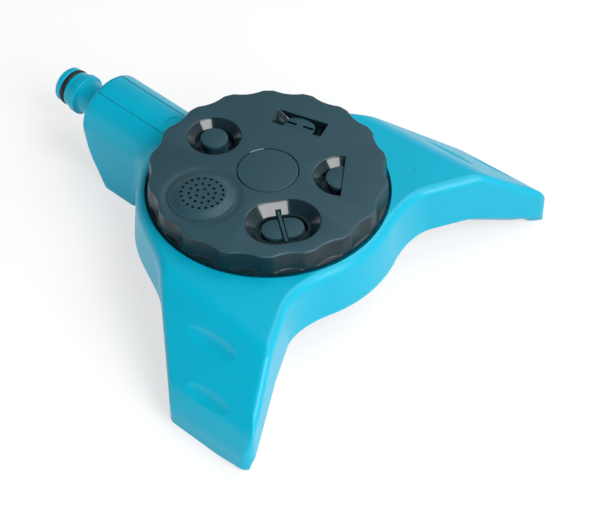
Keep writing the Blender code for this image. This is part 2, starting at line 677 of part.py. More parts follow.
def make_base_shell(material, parent):
    shell = new_object("base_shell", make_stand_skin(), material, parent)

    bosses = bmesh.new()
    middle = (PAN_FLOOR_Z + PAN_CEILING_Z) / 2
    cylinder(bosses, PIVOT_BOSS_RADIUS, middle, HUB_FLOOR_Z)
    for x, y in fixing_places():
        frame = Matrix.Translation((x, y, 0))
        cylinder(bosses, HANGING_BOSS_RADIUS, HANGING_BOSS_FOOT_Z, middle, SMALL_SIDES, frame)
    along = Matrix.Translation((HOUSING_END_X, 0, PIPE_Z)) @ Matrix.Rotation(math.pi / 2, 4, "Y")
    cylinder(bosses, FLARE_RADIUS + GAP + SLEEVE_WALL, -SLEEVE_RISE, SLEEVE_LENGTH, ROUND_SIDES, along)
    boolean(shell, "UNION", new_object("shell_bosses", bosses, None, parent))

    cuts = bmesh.new()
    port = Matrix.Translation((-PITCH_RADIUS, 0, 0))
    cylinder(cuts, CUP_RADIUS + GAP, PAN_CEILING_Z - CUT_MARGIN, PAN_FLOOR_Z + CUT_MARGIN, ROUND_SIDES, port)
    cylinder(cuts, PIVOT_SHANK_RADIUS + GAP, HUB_FLOOR_Z - PIVOT_DEPTH, HUB_FLOOR_Z + CUT_MARGIN, SMALL_SIDES)
    for x, y in fixing_places():
        frame = Matrix.Translation((x, y, 0))
        hole_top = HANGING_BOSS_FOOT_Z + FIXING_GRIP + 2 * GAP
        cylinder(cuts, FIXING_SHANK_RADIUS + GAP, HANGING_BOSS_FOOT_Z - CUT_MARGIN, hole_top,
                 SMALL_SIDES, frame)
    cylinder(cuts, DETENT_SHANK_RADIUS + GAP, PAN_CEILING_Z + GAP, PAN_FLOOR_Z + CUT_MARGIN,
             SMALL_SIDES, detent_screw_frame())
    boolean(shell, "DIFFERENCE", new_object("shell_holes", cuts, None, parent))

    slot = bmesh.new()
    arch_strip(slot, PANEL_HALF_WIDTH + GAP, ARCH_RADIUS - PANEL_THICKNESS - CUT_MARGIN,
               ARCH_RADIUS + 3 * CUT_MARGIN, PANEL_END_X - GAP, -LIP_RADIUS + 2 * CUT_MARGIN)
    boolean(shell, "DIFFERENCE", new_object("panel_slot", slot, None, parent))

    nose = bmesh.new()
    cylinder(nose, FLARE_RADIUS + GAP, -CUT_MARGIN, SLEEVE_LENGTH + CUT_MARGIN, ROUND_SIDES, along)
    side = WEB_HALF_WIDTH + GAP
    box(nose, (WEB_START_X - GAP, -side, PIPE_Z + PIPE_RADIUS), (WEB_END_X + GAP, side, PIPE_Z + ARCH_RADIUS))
    add_dimples(nose)
    boolean(shell, "DIFFERENCE", new_object("nose_hole", nose, None, parent))
    return shell


def nose_profile():
    # (radius, x) of the inlet from its tip to where it goes into the pipe
    groove_half = O_RING_WIRE + GAP
    groove_radius = O_RING_RADIUS - 2 * O_RING_WIRE - GAP
    return [
        (NOSE_FLANGE_RADIUS - NOSE_CHAMFER, NOSE_TIP_X),
        (NOSE_FLANGE_RADIUS, NOSE_TIP_X + NOSE_CHAMFER),
        (NOSE_FLANGE_RADIUS, O_RING_X - groove_half),
        (groove_radius, O_RING_X - groove_half),
        (groove_radius, O_RING_X + groove_half),
        (NOSE_RADIUS, O_RING_X + groove_half),
        (NOSE_RADIUS, COLLAR_FRONT_X - NOSE_CHAMFER),
        (COLLAR_RADIUS, COLLAR_FRONT_X),
        (COLLAR_RADIUS, COLLAR_BACK_X - NOSE_CHAMFER),
        (NECK_RADIUS, COLLAR_BACK_X),
        (NECK_RADIUS, NECK_BACK_X),
        (FLARE_RADIUS, HOUSING_END_X),
        (FLARE_RADIUS, HOUSING_END_X + SHELL_WALL),
        (PIPE_RADIUS, HOUSING_END_X + SHELL_WALL + FLARE_RADIUS - PIPE_RADIUS),
        (PIPE_RADIUS, -PITCH_RADIUS),
    ]


def along_x():
    # Turns a profile's height into a distance along X, on the pipe's axis
    return Matrix.Translation((0, 0, PIPE_Z)) @ Matrix.Rotation(math.pi / 2, 4, "Y")


def make_inlet_manifold(material, parent):
    pipe = bmesh.new()
    profile = [(0, NOSE_TIP_X)] + nose_profile() + [(0, -PITCH_RADIUS)]
    turned(pipe, profile, ROUND_SIDES, along_x())
    manifold = new_object("inlet_manifold", pipe, material, parent)

    cup_frame = Matrix.Translation((-PITCH_RADIUS, 0, 0))
    cup = bmesh.new()
    cylinder(cup, CUP_RADIUS, CUP_FOOT_Z, CUP_TOP_Z, ROUND_SIDES, cup_frame)
    web_foot = PIPE_Z + PIPE_RADIUS / 2
    web_top = PIPE_Z + ARCH_RADIUS - PANEL_THICKNESS / 2
    box(cup, (WEB_START_X, -WEB_HALF_WIDTH, web_foot), (WEB_END_X, WEB_HALF_WIDTH, web_top))
    boolean(manifold, "UNION", new_object("cup_and_web", cup, None, parent))

    panel = bmesh.new()
    arch_strip(panel, PANEL_HALF_WIDTH, ARCH_RADIUS - PANEL_THICKNESS, ARCH_RADIUS, PANEL_END_X, PANEL_DISC_X)
    low, high = EAR_TOP_Z - EAR_THICKNESS, EAR_TOP_Z
    stacked(panel, [(ear_outline(), low), (ear_outline(), high)])
    boolean(manifold, "UNION", new_object("panel_and_ears", panel, None, parent))

    bore = bmesh.new()
    cylinder(bore, BORE_RADIUS, NOSE_TIP_X - CUT_MARGIN, -PITCH_RADIUS, SMALL_SIDES, along_x())
    boolean(manifold, "DIFFERENCE", new_object("water_bore", bore, None, parent))
    cuts = bmesh.new()
    cup_cut_z = CUP_TOP_Z + CUT_MARGIN
    turned(cuts, [(0, PIPE_Z), (PORT_RADIUS, PIPE_Z), (PORT_RADIUS, CUP_SEAT_Z),
                  (CUP_BORE_RADIUS, CUP_SEAT_Z), (CUP_BORE_RADIUS, cup_cut_z), (0, cup_cut_z)],
           ROUND_SIDES, cup_frame)
    for x, y in fixing_places():
        cylinder(cuts, FIXING_SHANK_RADIUS + GAP, low - CUT_MARGIN, high + CUT_MARGIN, SMALL_SIDES,
                 Matrix.Translation((x, y, 0)))
    top_z = PIPE_Z + ARCH_RADIUS
    cylinder(cuts, POINTER_RADIUS, top_z - POINTER_DEPTH, top_z + CUT_MARGIN, SMALL_SIDES,
             Matrix.Translation((PANEL_DISC_X, 0, 0)))
    boolean(manifold, "DIFFERENCE", new_object("manifold_cuts", cuts, None, parent))


def make_o_ring(material, parent):
    bm = bmesh.new()
    section_points = arc(O_RING_WIRE, 0, 2 * math.pi, SMALL_SIDES, (O_RING_CENTRE_RADIUS, O_RING_X))[:-1]
    turned(bm, section_points, ROUND_SIDES, along_x(), ring=True)
    new_object("connector_o_ring", bm, material, parent)


def make_screw(name, material, parent, place, head_foot, head_radius, head_height, shank_radius, tip_z):
    # A screw on a vertical line; its shank runs from the head's flat side to tip_z
    upward = tip_z > head_foot
    head_far = head_foot - head_height if upward else head_foot + head_height
    chamfer = head_height / 4
    step = chamfer if upward else -chamfer
    profile = [(0, head_far), (head_radius - chamfer, head_far), (head_radius, head_far + step),
               (head_radius, head_foot), (shank_radius, head_foot),
               (shank_radius, tip_z - 2 * step), (shank_radius / 2, tip_z), (0, tip_z)]
    bm = bmesh.new()
    turned(bm, profile, SMALL_SIDES, Matrix.Translation((place[0], place[1], 0)))
    return new_object(name, bm, material, parent)


def make_seal(material, parent):
    # The rubber sleeve between the spring and the nozzle plate
    bm = bmesh.new()
    foot = SEAL_TOP_Z - SEAL_HEIGHT
    profile = [(SEAL_BORE_RADIUS, foot), (SEAL_RADIUS, foot), (SEAL_RADIUS, SEAL_TOP_Z - SEAL_CHAMFER),
               (SEAL_RADIUS - SEAL_CHAMFER / 2, SEAL_TOP_Z), (SEAL_BORE_RADIUS, SEAL_TOP_Z)]
    turned(bm, profile, ROUND_SIDES, ring=True)
    new_object("port_seal", bm, material, parent)


def make_spring(material, parent):
    # A coil of round wire between the cup's seat and the sleeve
    foot = CUP_SEAT_Z + GAP + SPRING_WIRE
    top = SEAL_TOP_Z - SEAL_HEIGHT - GAP - SPRING_WIRE
    steps = round(SPRING_COILS * SMALL_SIDES)
    bm = bmesh.new()
    loops = []
    for i in range(steps + 1):
        turn = 2 * math.pi * SPRING_COILS * i / steps
        rise = foot + (top - foot) * i / steps
        wire = arc(SPRING_WIRE, 0, 2 * math.pi, HOLE_SIDES, (SPRING_RADIUS, rise))[:-1]
        loops.append([bm.verts.new((r * math.cos(turn), r * math.sin(turn), z)) for r, z in wire])
    close_loops(bm, loops)
    bm.faces.new(loops[0])
    bm.faces.new(loops[-1])
    new_object("seal_spring", bm, material, parent)


def make_leaf(material, parent):
    # A bent strip: flat foot under its screw, rising arm, round bump that clicks into a notch
    foot_z = PAN_FLOOR_Z + GAP
    crest_z = PLATE_FOOT_Z - GAP - LEAF_THICKNESS
    start = -LEAF_LENGTH
    bend = LEAF_FOOT_LENGTH - LEAF_LENGTH
    centre_line = [(start, foot_z), (bend, foot_z), (-2 * BUMP_RADIUS, crest_z)]
    bump = [(BUMP_RADIUS * BUMP_STRETCH * math.sin(a), crest_z + BUMP_RADIUS * math.cos(a))
            for a in (-math.pi / 3, -math.pi / 6, 0, math.pi / 6, math.pi / 3)]
    centre_line += bump + [(2 * BUMP_RADIUS, crest_z), (3 * BUMP_RADIUS, crest_z)]
    outline = centre_line + [(s, z + LEAF_THICKNESS) for s, z in centre_line[::-1]]
    frame = detent_frame()
    bm = bmesh.new()
    loops = []
    for x in (-LEAF_WIDTH / 2, LEAF_WIDTH / 2):
        loops.append(add_loop(bm, [(x, s, z) for s, z in outline], frame))
    close_loops(bm, loops)
    bm.faces.new(loops[0])
    bm.faces.new(loops[1])
    leaf = new_object("detent_leaf", bm, material, parent)
    hole = bmesh.new()
    cylinder(hole, DETENT_SHANK_RADIUS + GAP, foot_z - CUT_MARGIN, foot_z + LEAF_THICKNESS + CUT_MARGIN,
             SMALL_SIDES, detent_screw_frame())
    boolean(leaf, "DIFFERENCE", new_object("leaf_hole", hole, None, parent))


def flute(angle):
    # Depth of the scalloped grip at an angle, 0 on the ridges
    pitch = 2 * math.pi / FLUTES
    offset = (angle - FLUTE_PHASE + pitch / 2) % pitch - pitch / 2
    half = FLUTE_WIDTH_SHARE * pitch / 2
    if abs(offset) >= half:
        return 0.0
    return FLUTE_DEPTH * (1 - (offset / half) ** 2)


def make_disc_skin():
    sides = FLUTES * FLUTE_STEPS
    angles = [FLUTE_PHASE + 2 * math.pi * i / sides for i in range(sides)]
    drop = (DISC_FOOT_RADIUS - DISC_RADIUS) / (DISC_TOP_Z - DISC_FOOT_Z)
    bm = bmesh.new()

    def loop(z, depth_share, inset=0.0):
        radius = DISC_RADIUS + (DISC_TOP_Z - z) * drop - inset
        rings = [radius - depth_share * flute(a) for a in angles]
        return [bm.verts.new((r * math.cos(a), r * math.sin(a), z)) for r, a in zip(rings, angles)]

    def plain(radius, z):
        return [bm.verts.new((radius * math.cos(a), radius * math.sin(a), z)) for a in angles]

    under = DISC_TOP_Z - DISC_PLATE
    loops = [[bm.verts.new((0, 0, DISC_TOP_Z))],
             loop(DISC_TOP_Z, 1, EDGE_CHAMFER), loop(DISC_TOP_Z - EDGE_CHAMFER, 1),
             loop(LEDGE_Z + EDGE_CHAMFER, 1), loop(LEDGE_Z, 0), loop(DISC_FOOT_Z, 0),
             plain(SKIRT_INNER_RADIUS, DISC_FOOT_Z), plain(SKIRT_INNER_RADIUS, under),
             [bm.verts.new((0, 0, under))]]
    close_loops(bm, loops)
    return bm


def recess_layers(top_outline, foot_outline, bore_outline):
    # A cutter: sloping recess, ledge and straight bore down through the boss
    return [(bore_outline, BOSS_FOOT_Z - CUT_MARGIN), (bore_outline, RECESS_FLOOR_Z),
            (foot_outline, RECESS_FLOOR_Z), (top_outline, DISC_TOP_Z), (top_outline, DISC_TOP_Z + CUT_MARGIN)]


def square_recess(bm, frame):
    # Straight outer wall, upright end, and a long slope at the other end
    t = SQUARE_HALF_LENGTH
    foot = [(SQUARE_INNER, -t), (SQUARE_OUTER, -t), (SQUARE_OUTER, t - SQUARE_SLOPE_RUN),
            (SQUARE_INNER + SQUARE_SLOPE_RUN / 2, t - SQUARE_SLOPE_RUN / 2),
            (SQUARE_INNER, t - SQUARE_SLOPE_RUN)]
    top = [(SQUARE_INNER, -t), (SQUARE_OUTER, -t), (SQUARE_OUTER, t),
           (SQUARE_INNER + SQUARE_SLOPE_RUN / 2, t), (SQUARE_INNER, t - SQUARE_SLOPE_RUN / 2)]
    stacked(bm, [(foot, RECESS_FLOOR_Z), (top, DISC_TOP_Z), (top, DISC_TOP_Z + CUT_MARGIN)], frame)


def rose_profile():
    # A low dome with a flat top; its side is a quarter of a sine curve
    foot_z = DISC_TOP_Z - ROSE_DISH_DEPTH
    profile = [(0, DISC_TOP_Z - DISC_PLATE / 2), (ROSE_FOOT_RADIUS, DISC_TOP_Z - DISC_PLATE / 2)]
    for i in range(ROSE_STEPS + 1):
        share = i / ROSE_STEPS
        radius = ROSE_FOOT_RADIUS + (ROSE_FLAT_RADIUS - ROSE_FOOT_RADIUS) * share
        profile.append((radius, foot_z + (ROSE_RISE + ROSE_DISH_DEPTH) * math.sin(share * math.pi / 2)))
    return profile + [(0, DISC_TOP_Z + ROSE_RISE)]


def make_selector_disc(material, parent):
    disc = new_object("selector_disc", make_disc_skin(), material, parent)
    under = DISC_TOP_Z - DISC_PLATE / 2

    bosses = bmesh.new()
    for k in range(NOZZLE_COUNT):
        cylinder(bosses, BOSS_RADIUS, BOSS_FOOT_Z, under, ROUND_SIDES, nozzle_frame(k))
        screw_frame = around(PLATE_SCREW_PITCH, 2 * math.pi * k / NOZZLE_COUNT)
        cylinder(bosses, PLATE_BOSS_RADIUS, PLATE_TOP_Z + GAP, under, SMALL_SIDES, screw_frame)
    cylinder(bosses, HUB_WELL_RADIUS + HUB_WALL, HUB_FLOOR_Z - HUB_FLOOR, under, ROUND_SIDES)
    boolean(disc, "UNION", new_object("disc_bosses", bosses, None, parent))

    dish = bmesh.new()
    margin = CUT_MARGIN
    dish_inner = ROSE_FOOT_RADIUS - ROSE_DISH_DEPTH
    dish_floor_z = DISC_TOP_Z - ROSE_DISH_DEPTH
    turned(dish, [(dish_inner, dish_floor_z), (ROSE_FOOT_RADIUS, dish_floor_z),
                  (ROSE_DISH_RADIUS, DISC_TOP_Z), (ROSE_DISH_RADIUS, DISC_TOP_Z + margin),
                  (dish_inner, DISC_TOP_Z + margin)],
           ROUND_SIDES, nozzle_frame(3), ring=True)
    square_recess(dish, nozzle_frame(1))
    boolean(disc, "DIFFERENCE", new_object("rose_dish", dish, None, parent))

    rose = bmesh.new()
    turned(rose, rose_profile(), ROUND_SIDES, nozzle_frame(3))
    boolean(disc, "UNION", new_object("rose_dome", rose, None, parent))

    cuts = bmesh.new()
    half_top = half_disc(HALF_EDGE, HALF_TOP_RADIUS)
    stacked(cuts, recess_layers(half_top, half_disc(HALF_EDGE, HALF_FOOT_RADIUS),
                                half_disc(HALF_EDGE, HALF_BORE_RADIUS)), nozzle_frame(0))
    bore_top = RECESS_FLOOR_Z + CUT_MARGIN
    cylinder(cuts, SLOT_BORE_RADIUS, BOSS_FOOT_Z - margin, bore_top, ROUND_SIDES, nozzle_frame(1))
    stacked(cuts, recess_layers(obround(0, CONE_TOP_RADIUS), obround(0, CONE_FOOT_RADIUS),
                                obround(0, SLOT_BORE_RADIUS)), nozzle_frame(2))
    chamber_top = DISC_TOP_Z + ROSE_RISE - ROSE_THICKNESS
    turned(cuts, [(0, BOSS_FOOT_Z - margin), (ROSE_CHAMBER_RADIUS, BOSS_FOOT_Z - margin),
                  (ROSE_CHAMBER_RADIUS, chamber_top - ROSE_THICKNESS), (ROSE_FLAT_RADIUS, chamber_top),
                  (0, chamber_top)], ROUND_SIDES, nozzle_frame(3))
    stacked(cuts, recess_layers(obround(OBROUND_STRAIGHT, OBROUND_TOP_RADIUS),
                                obround(OBROUND_STRAIGHT, OBROUND_FOOT_RADIUS),
                                obround(OBROUND_STRAIGHT, OBROUND_BORE_RADIUS)), nozzle_frame(4))
    hub_foot = HUB_FLOOR_Z - HUB_FLOOR - margin
    turned(cuts, [(0, hub_foot), (PIVOT_BOSS_RADIUS + GAP, hub_foot),
                  (PIVOT_BOSS_RADIUS + GAP, HUB_FLOOR_Z), (HUB_WELL_RADIUS, HUB_FLOOR_Z),
                  (HUB_WELL_RADIUS, DISC_TOP_Z + margin), (0, DISC_TOP_Z + margin)], ROUND_SIDES)
    for k in range(NOZZLE_COUNT):
        frame = around(PLATE_SCREW_PITCH, 2 * math.pi * k / NOZZLE_COUNT)
        cylinder(cuts, PLATE_SHANK_RADIUS + GAP, PLATE_TOP_Z, PLATE_TOP_Z + PLATE_SCREW_GRIP + 3 * GAP,
                 SMALL_SIDES, frame)
    boolean(disc, "DIFFERENCE", new_object("disc_cuts", cuts, None, parent))

    holes = bmesh.new()
    for count, ring_radius in ROSE_RINGS:
        for i in range(count):
            place = nozzle_frame(3) @ around(ring_radius, 2 * math.pi * i / count)
            cylinder(holes, ROSE_HOLE_RADIUS, chamber_top - ROSE_THICKNESS, DISC_TOP_Z + ROSE_RISE + margin,
                     HOLE_SIDES, place)
    notch_half = RIB_WIDTH / 2 + GAP
    box(holes, (-OBROUND_TOP_RADIUS, -notch_half, RECESS_FLOOR_Z),
        (-OBROUND_BORE_RADIUS + GAP, notch_half, DISC_TOP_Z - NOTCH_DROP), nozzle_frame(4))
    boolean(disc, "DIFFERENCE", new_object("rose_holes", holes, None, parent))


def core_layers(outline_at):
    # The stem and the button of a nozzle insert; outline_at gives its outline at a share of its size
    neck_z = BUTTON_TOP_Z - BUTTON_HEIGHT
    edge_z = BUTTON_TOP_Z - BUTTON_DROP / 4
    stem_foot_z = FLANGE_FOOT_Z + FLANGE_THICKNESS / 2
    return [(outline_at(SHANK_SHARE), stem_foot_z), (outline_at(SHANK_SHARE), neck_z),
            (outline_at(1), neck_z), (outline_at(1), edge_z), (outline_at(RIM_SHARE), BUTTON_TOP_Z)]


def make_core(name, index, outline_at, material, parent):
    frame = nozzle_frame(index)
    flange = bmesh.new()
    cylinder(flange, FLANGE_RADIUS, FLANGE_FOOT_Z, FLANGE_FOOT_Z + FLANGE_THICKNESS, ROUND_SIDES, frame)
    core = new_object(name, flange, material, parent)
    stem = bmesh.new()
    stacked(stem, core_layers(outline_at), frame)
    boolean(core, "UNION", new_object(name + "_stem", stem, None, parent))
    return core


def water_holes(name, core, index, pitch, count, parent):
    cuts = bmesh.new()
    low = FLANGE_FOOT_Z - CUT_MARGIN
    high = FLANGE_FOOT_Z + FLANGE_THICKNESS + CUT_MARGIN
    for i in range(count):
        place = nozzle_frame(index) @ around(pitch, math.pi / count + 2 * math.pi * i / count)
        cylinder(cuts, WATER_HOLE_RADIUS, low, high, SMALL_SIDES, place)
    boolean(core, "DIFFERENCE", new_object(name, cuts, None, parent))


def make_cores(material, parent):
    core = make_core("half_circle_core", 0,
                     lambda s: half_disc(HALF_EDGE - GAP, HALF_CORE_RADIUS * s), material, parent)
    water_holes("half_circle_water", core, 0, WATER_HOLE_PITCH, WATER_HOLES, parent)

    core = make_core("full_circle_core", 2, lambda s: obround(0, CORE_RADIUS * s), material, parent)
    water_holes("full_circle_water", core, 2, WATER_HOLE_PITCH, WATER_HOLES, parent)

    core = make_core("twin_arc_core", 4,
                     lambda s: obround(OBROUND_STRAIGHT, OBROUND_CORE_RADIUS * s), material, parent)
    rib = bmesh.new()
    reach = OBROUND_FOOT_RADIUS - GAP
    box(rib, (-reach, -RIB_WIDTH / 2, RECESS_FLOOR_Z + GAP), (reach, RIB_WIDTH / 2, BUTTON_TOP_Z + RIB_RISE),
        nozzle_frame(4))
    boolean(core, "UNION", new_object("twin_arc_rib", rib, None, parent))
    water_holes("twin_arc_water", core, 4, WATER_HOLE_PITCH, WATER_HOLES, parent)

    def island(share):
        nose = ISLAND_SHOULDER + (ISLAND_NOSE - ISLAND_SHOULDER) * share
        return arch_outline((SQUARE_INNER + GAP) * share, ISLAND_SHOULDER, nose, ISLAND_HALF_WIDTH * share)

    core = make_core("square_core", 1, island, material, parent)
    dashes = bmesh.new()
    for side in (1, -1):
        middle = side * (DASH_GAP + DASH_LENGTH) / 2
        low = (ISLAND_SHOULDER - DASH_WIDTH, middle - DASH_LENGTH / 2, FLANGE_FOOT_Z - CUT_MARGIN)
        high = (ISLAND_SHOULDER, middle + DASH_LENGTH / 2, BUTTON_TOP_Z + CUT_MARGIN)
        box(dashes, low, high, nozzle_frame(1))
    boolean(core, "DIFFERENCE", new_object("square_dashes", dashes, None, parent))


def make_nozzle_plate(material, parent):
    bm = bmesh.new()
    tube(bm, PIVOT_BOSS_RADIUS + GAP, PLATE_RADIUS, PLATE_FOOT_Z, PLATE_TOP_Z, 2 * ROUND_SIDES)
    plate = new_object("nozzle_plate", bm, material, parent)
    cuts = bmesh.new()
    margin = CUT_MARGIN
    for k in range(NOZZLE_COUNT):
        cylinder(cuts, PORT_RADIUS, PLATE_FOOT_Z - margin, PLATE_TOP_Z + margin, SMALL_SIDES, nozzle_frame(k))
        seat = PLATE_FOOT_Z + PLATE_HEAD_HEIGHT + 2 * GAP
        turned(cuts, [(0, PLATE_FOOT_Z - margin), (PLATE_HEAD_RADIUS + GAP, PLATE_FOOT_Z - margin),
                      (PLATE_HEAD_RADIUS + GAP, seat), (PLATE_SHANK_RADIUS + GAP, seat),
                      (PLATE_SHANK_RADIUS + GAP, PLATE_TOP_Z + margin), (0, PLATE_TOP_Z + margin)],
               SMALL_SIDES, around(PLATE_SCREW_PITCH, 2 * math.pi * k / NOZZLE_COUNT))
        notch = around(DETENT_PITCH, DETENT_ANGLE + 2 * math.pi * k / NOZZLE_COUNT)
        across = notch @ Matrix.Translation((0, 0, PLATE_FOOT_Z)) @ Matrix.Rotation(math.pi / 2, 4, "Y")
        reach = LEAF_WIDTH / 2 + GAP
        cylinder(cuts, NOTCH_RADIUS, -reach, PLATE_RADIUS - DETENT_PITCH + margin, SMALL_SIDES, across)
    boolean(plate, "DIFFERENCE", new_object("plate_cuts", cuts, None, parent))


def make_cap(material, parent):
    # A shallow cup, open below, that stands on the hub's floor
    foot = HUB_FLOOR_Z + GAP
    inner = CAP_RADIUS - CAP_WALL
    under = DISC_TOP_Z - CAP_THICKNESS
    chamfer = EDGE_CHAMFER / 2
    profile = [(0, DISC_TOP_Z), (CAP_RADIUS - chamfer, DISC_TOP_Z), (CAP_RADIUS, DISC_TOP_Z - chamfer),
               (CAP_RADIUS, foot), (inner, foot), (inner, under), (0, under)]
    bm = bmesh.new()
    turned(bm, profile, ROUND_SIDES)
    new_object("centre_cap", bm, material, parent)


def make_gaskets(material, parent):
    for k in range(NOZZLE_COUNT):
        bm = bmesh.new()
        tube(bm, GASKET_INNER, GASKET_OUTER, FLANGE_FOOT_Z, BOSS_FOOT_Z - GAP, ROUND_SIDES, nozzle_frame(k))
        new_object(f"gasket_{k + 1}", bm, material, parent)


def stand_reach():
    # How far forward the wing tips reach, measured on the outline
    angle = stand_directions()
    start_z = np.full_like(angle, RING_FOOT_Z / 2)
    radius = outermost(stand_solid, np.cos(angle), np.sin(angle), 0 * angle, 0, 0, start_z)
    return float(np.max(radius * np.cos(angle)))


def build():
    for obj in list(bpy.data.objects):
        bpy.data.objects.remove(obj)

    blue = new_material("blue_plastic", (0.0, 0.40, 0.62), 0.42)
    slate = new_material("slate_plastic", (0.035, 0.090, 0.115), 0.38)
    steel = new_material("screw_steel", (0.55, 0.55, 0.56), 0.35, 1.0)
    rubber = new_material("black_rubber", (0.012, 0.012, 0.013), 0.6)
    acetal = new_material("white_acetal", (0.78, 0.78, 0.76), 0.35)

    axis_x = (-NOSE_TIP_X - stand_reach()) / 2
    stand_axis = new_empty("stand_axis", axis_x)
    dial_axis = new_empty("dial_axis", axis_x)
    seal_axis = new_empty("seal_axis", axis_x - PITCH_RADIUS)

    make_base_shell(blue, stand_axis)
    make_inlet_manifold(blue, stand_axis)
    make_o_ring(rubber, stand_axis)
    for i, place in enumerate(fixing_places()):
        make_screw(f"manifold_screw_{i + 1}", steel, stand_axis, place, EAR_TOP_Z - EAR_THICKNESS - GAP,
                   FIXING_HEAD_RADIUS, FIXING_HEAD_HEIGHT, FIXING_SHANK_RADIUS,
                   HANGING_BOSS_FOOT_Z + FIXING_GRIP)
    washer = bmesh.new()
    washer_foot = HUB_FLOOR_Z + GAP
    tube(washer, PIVOT_SHANK_RADIUS + GAP, WASHER_RADIUS, washer_foot, washer_foot + WASHER_THICKNESS)
    new_object("pivot_washer", washer, acetal, stand_axis)
    make_screw("pivot_screw", steel, stand_axis, (0, 0), HUB_FLOOR_Z + WASHER_THICKNESS + 2 * GAP,
               PIVOT_HEAD_RADIUS, PIVOT_HEAD_HEIGHT, PIVOT_SHANK_RADIUS, HUB_FLOOR_Z - PIVOT_DEPTH + GAP)
    make_leaf(steel, stand_axis)
    screw_place = detent_screw_frame().to_translation()
    make_screw("detent_screw", steel, stand_axis, (screw_place.x, screw_place.y),
               PAN_FLOOR_Z + LEAF_THICKNESS + 2 * GAP, DETENT_HEAD_RADIUS, DETENT_HEAD_HEIGHT,
               DETENT_SHANK_RADIUS, PAN_CEILING_Z + 2 * GAP)

    make_seal(rubber, seal_axis)
    make_spring(steel, seal_axis)

    make_selector_disc(slate, dial_axis)
    make_nozzle_plate(acetal, dial_axis)
    make_cores(slate, dial_axis)
    make_cap(slate, dial_axis)
    make_gaskets(rubber, dial_axis)
    for k in range(NOZZLE_COUNT):
        place = around(PLATE_SCREW_PITCH, 2 * math.pi * k / NOZZLE_COUNT).to_translation()
        make_screw(f"plate_screw_{k + 1}", steel, dial_axis, (place.x, place.y),
                   PLATE_FOOT_Z + PLATE_HEAD_HEIGHT + GAP, PLATE_HEAD_RADIUS, PLATE_HEAD_HEIGHT,
                   PLATE_SHANK_RADIUS, PLATE_TOP_Z + PLATE_SCREW_GRIP)


build()
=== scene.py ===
# A static garden sprinkler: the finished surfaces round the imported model
import json
import math

import bmesh
import bpy
import numpy as np
from mathutils import Matrix, Vector


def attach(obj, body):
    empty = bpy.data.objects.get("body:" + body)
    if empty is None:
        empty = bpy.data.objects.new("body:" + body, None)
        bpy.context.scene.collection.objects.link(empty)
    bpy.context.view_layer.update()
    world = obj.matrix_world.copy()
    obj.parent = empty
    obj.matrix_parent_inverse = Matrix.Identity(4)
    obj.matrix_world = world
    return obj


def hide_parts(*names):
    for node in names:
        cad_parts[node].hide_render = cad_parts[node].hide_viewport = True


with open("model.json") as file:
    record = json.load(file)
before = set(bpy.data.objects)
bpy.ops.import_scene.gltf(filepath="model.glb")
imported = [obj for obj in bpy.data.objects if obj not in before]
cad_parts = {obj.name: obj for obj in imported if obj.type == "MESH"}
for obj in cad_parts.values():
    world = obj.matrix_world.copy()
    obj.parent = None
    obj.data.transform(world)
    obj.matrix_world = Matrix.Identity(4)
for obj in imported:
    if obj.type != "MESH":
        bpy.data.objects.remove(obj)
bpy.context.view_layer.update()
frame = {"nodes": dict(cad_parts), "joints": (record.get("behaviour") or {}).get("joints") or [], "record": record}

# Every shape below is drawn in millimetres round the dial's axis, with the inlet towards -X
dialJoint = next(j for j in frame["joints"] if j["name"] == "disc_turn")
axisX = dialJoint["pos_m"][0]
dialFrame = Matrix.Translation((axisX, 0, 0)) @ Matrix.Scale(0.001, 4)
sink = 1.0          # how far a cutter runs past the face that it opens
gap = 0.3           # between pieces that touch
weld = 0.003        # vertices closer than this become one
rayLength = 150.0   # from inside the stand to well past its skin
halvings = 30       # steps in which a ray finds the skin
sharpAngle = 32     # degrees; edges that turn by more stay sharp in the shading
black, white = (0, 0, 0, 1), (1, 1, 1, 1)


class Wire:
    # One output of a node, which can stand in a sum
    def __init__(self, shader, socket):
        self.shader = shader
        self.socket = socket

    def sum(self, operation, first, second):
        return self.shader.add("ShaderNodeMath", {"operation": operation}, {0: first, 1: second})

    def __add__(self, other):
        return self.sum("ADD", self, other)

    def __radd__(self, other):
        return self.sum("ADD", other, self)

    def __sub__(self, other):
        return self.sum("SUBTRACT", self, other)

    def __rsub__(self, other):
        return self.sum("SUBTRACT", other, self)

    def __mul__(self, other):
        return self.sum("MULTIPLY", self, other)

    def __rmul__(self, other):
        return self.sum("MULTIPLY", other, self)


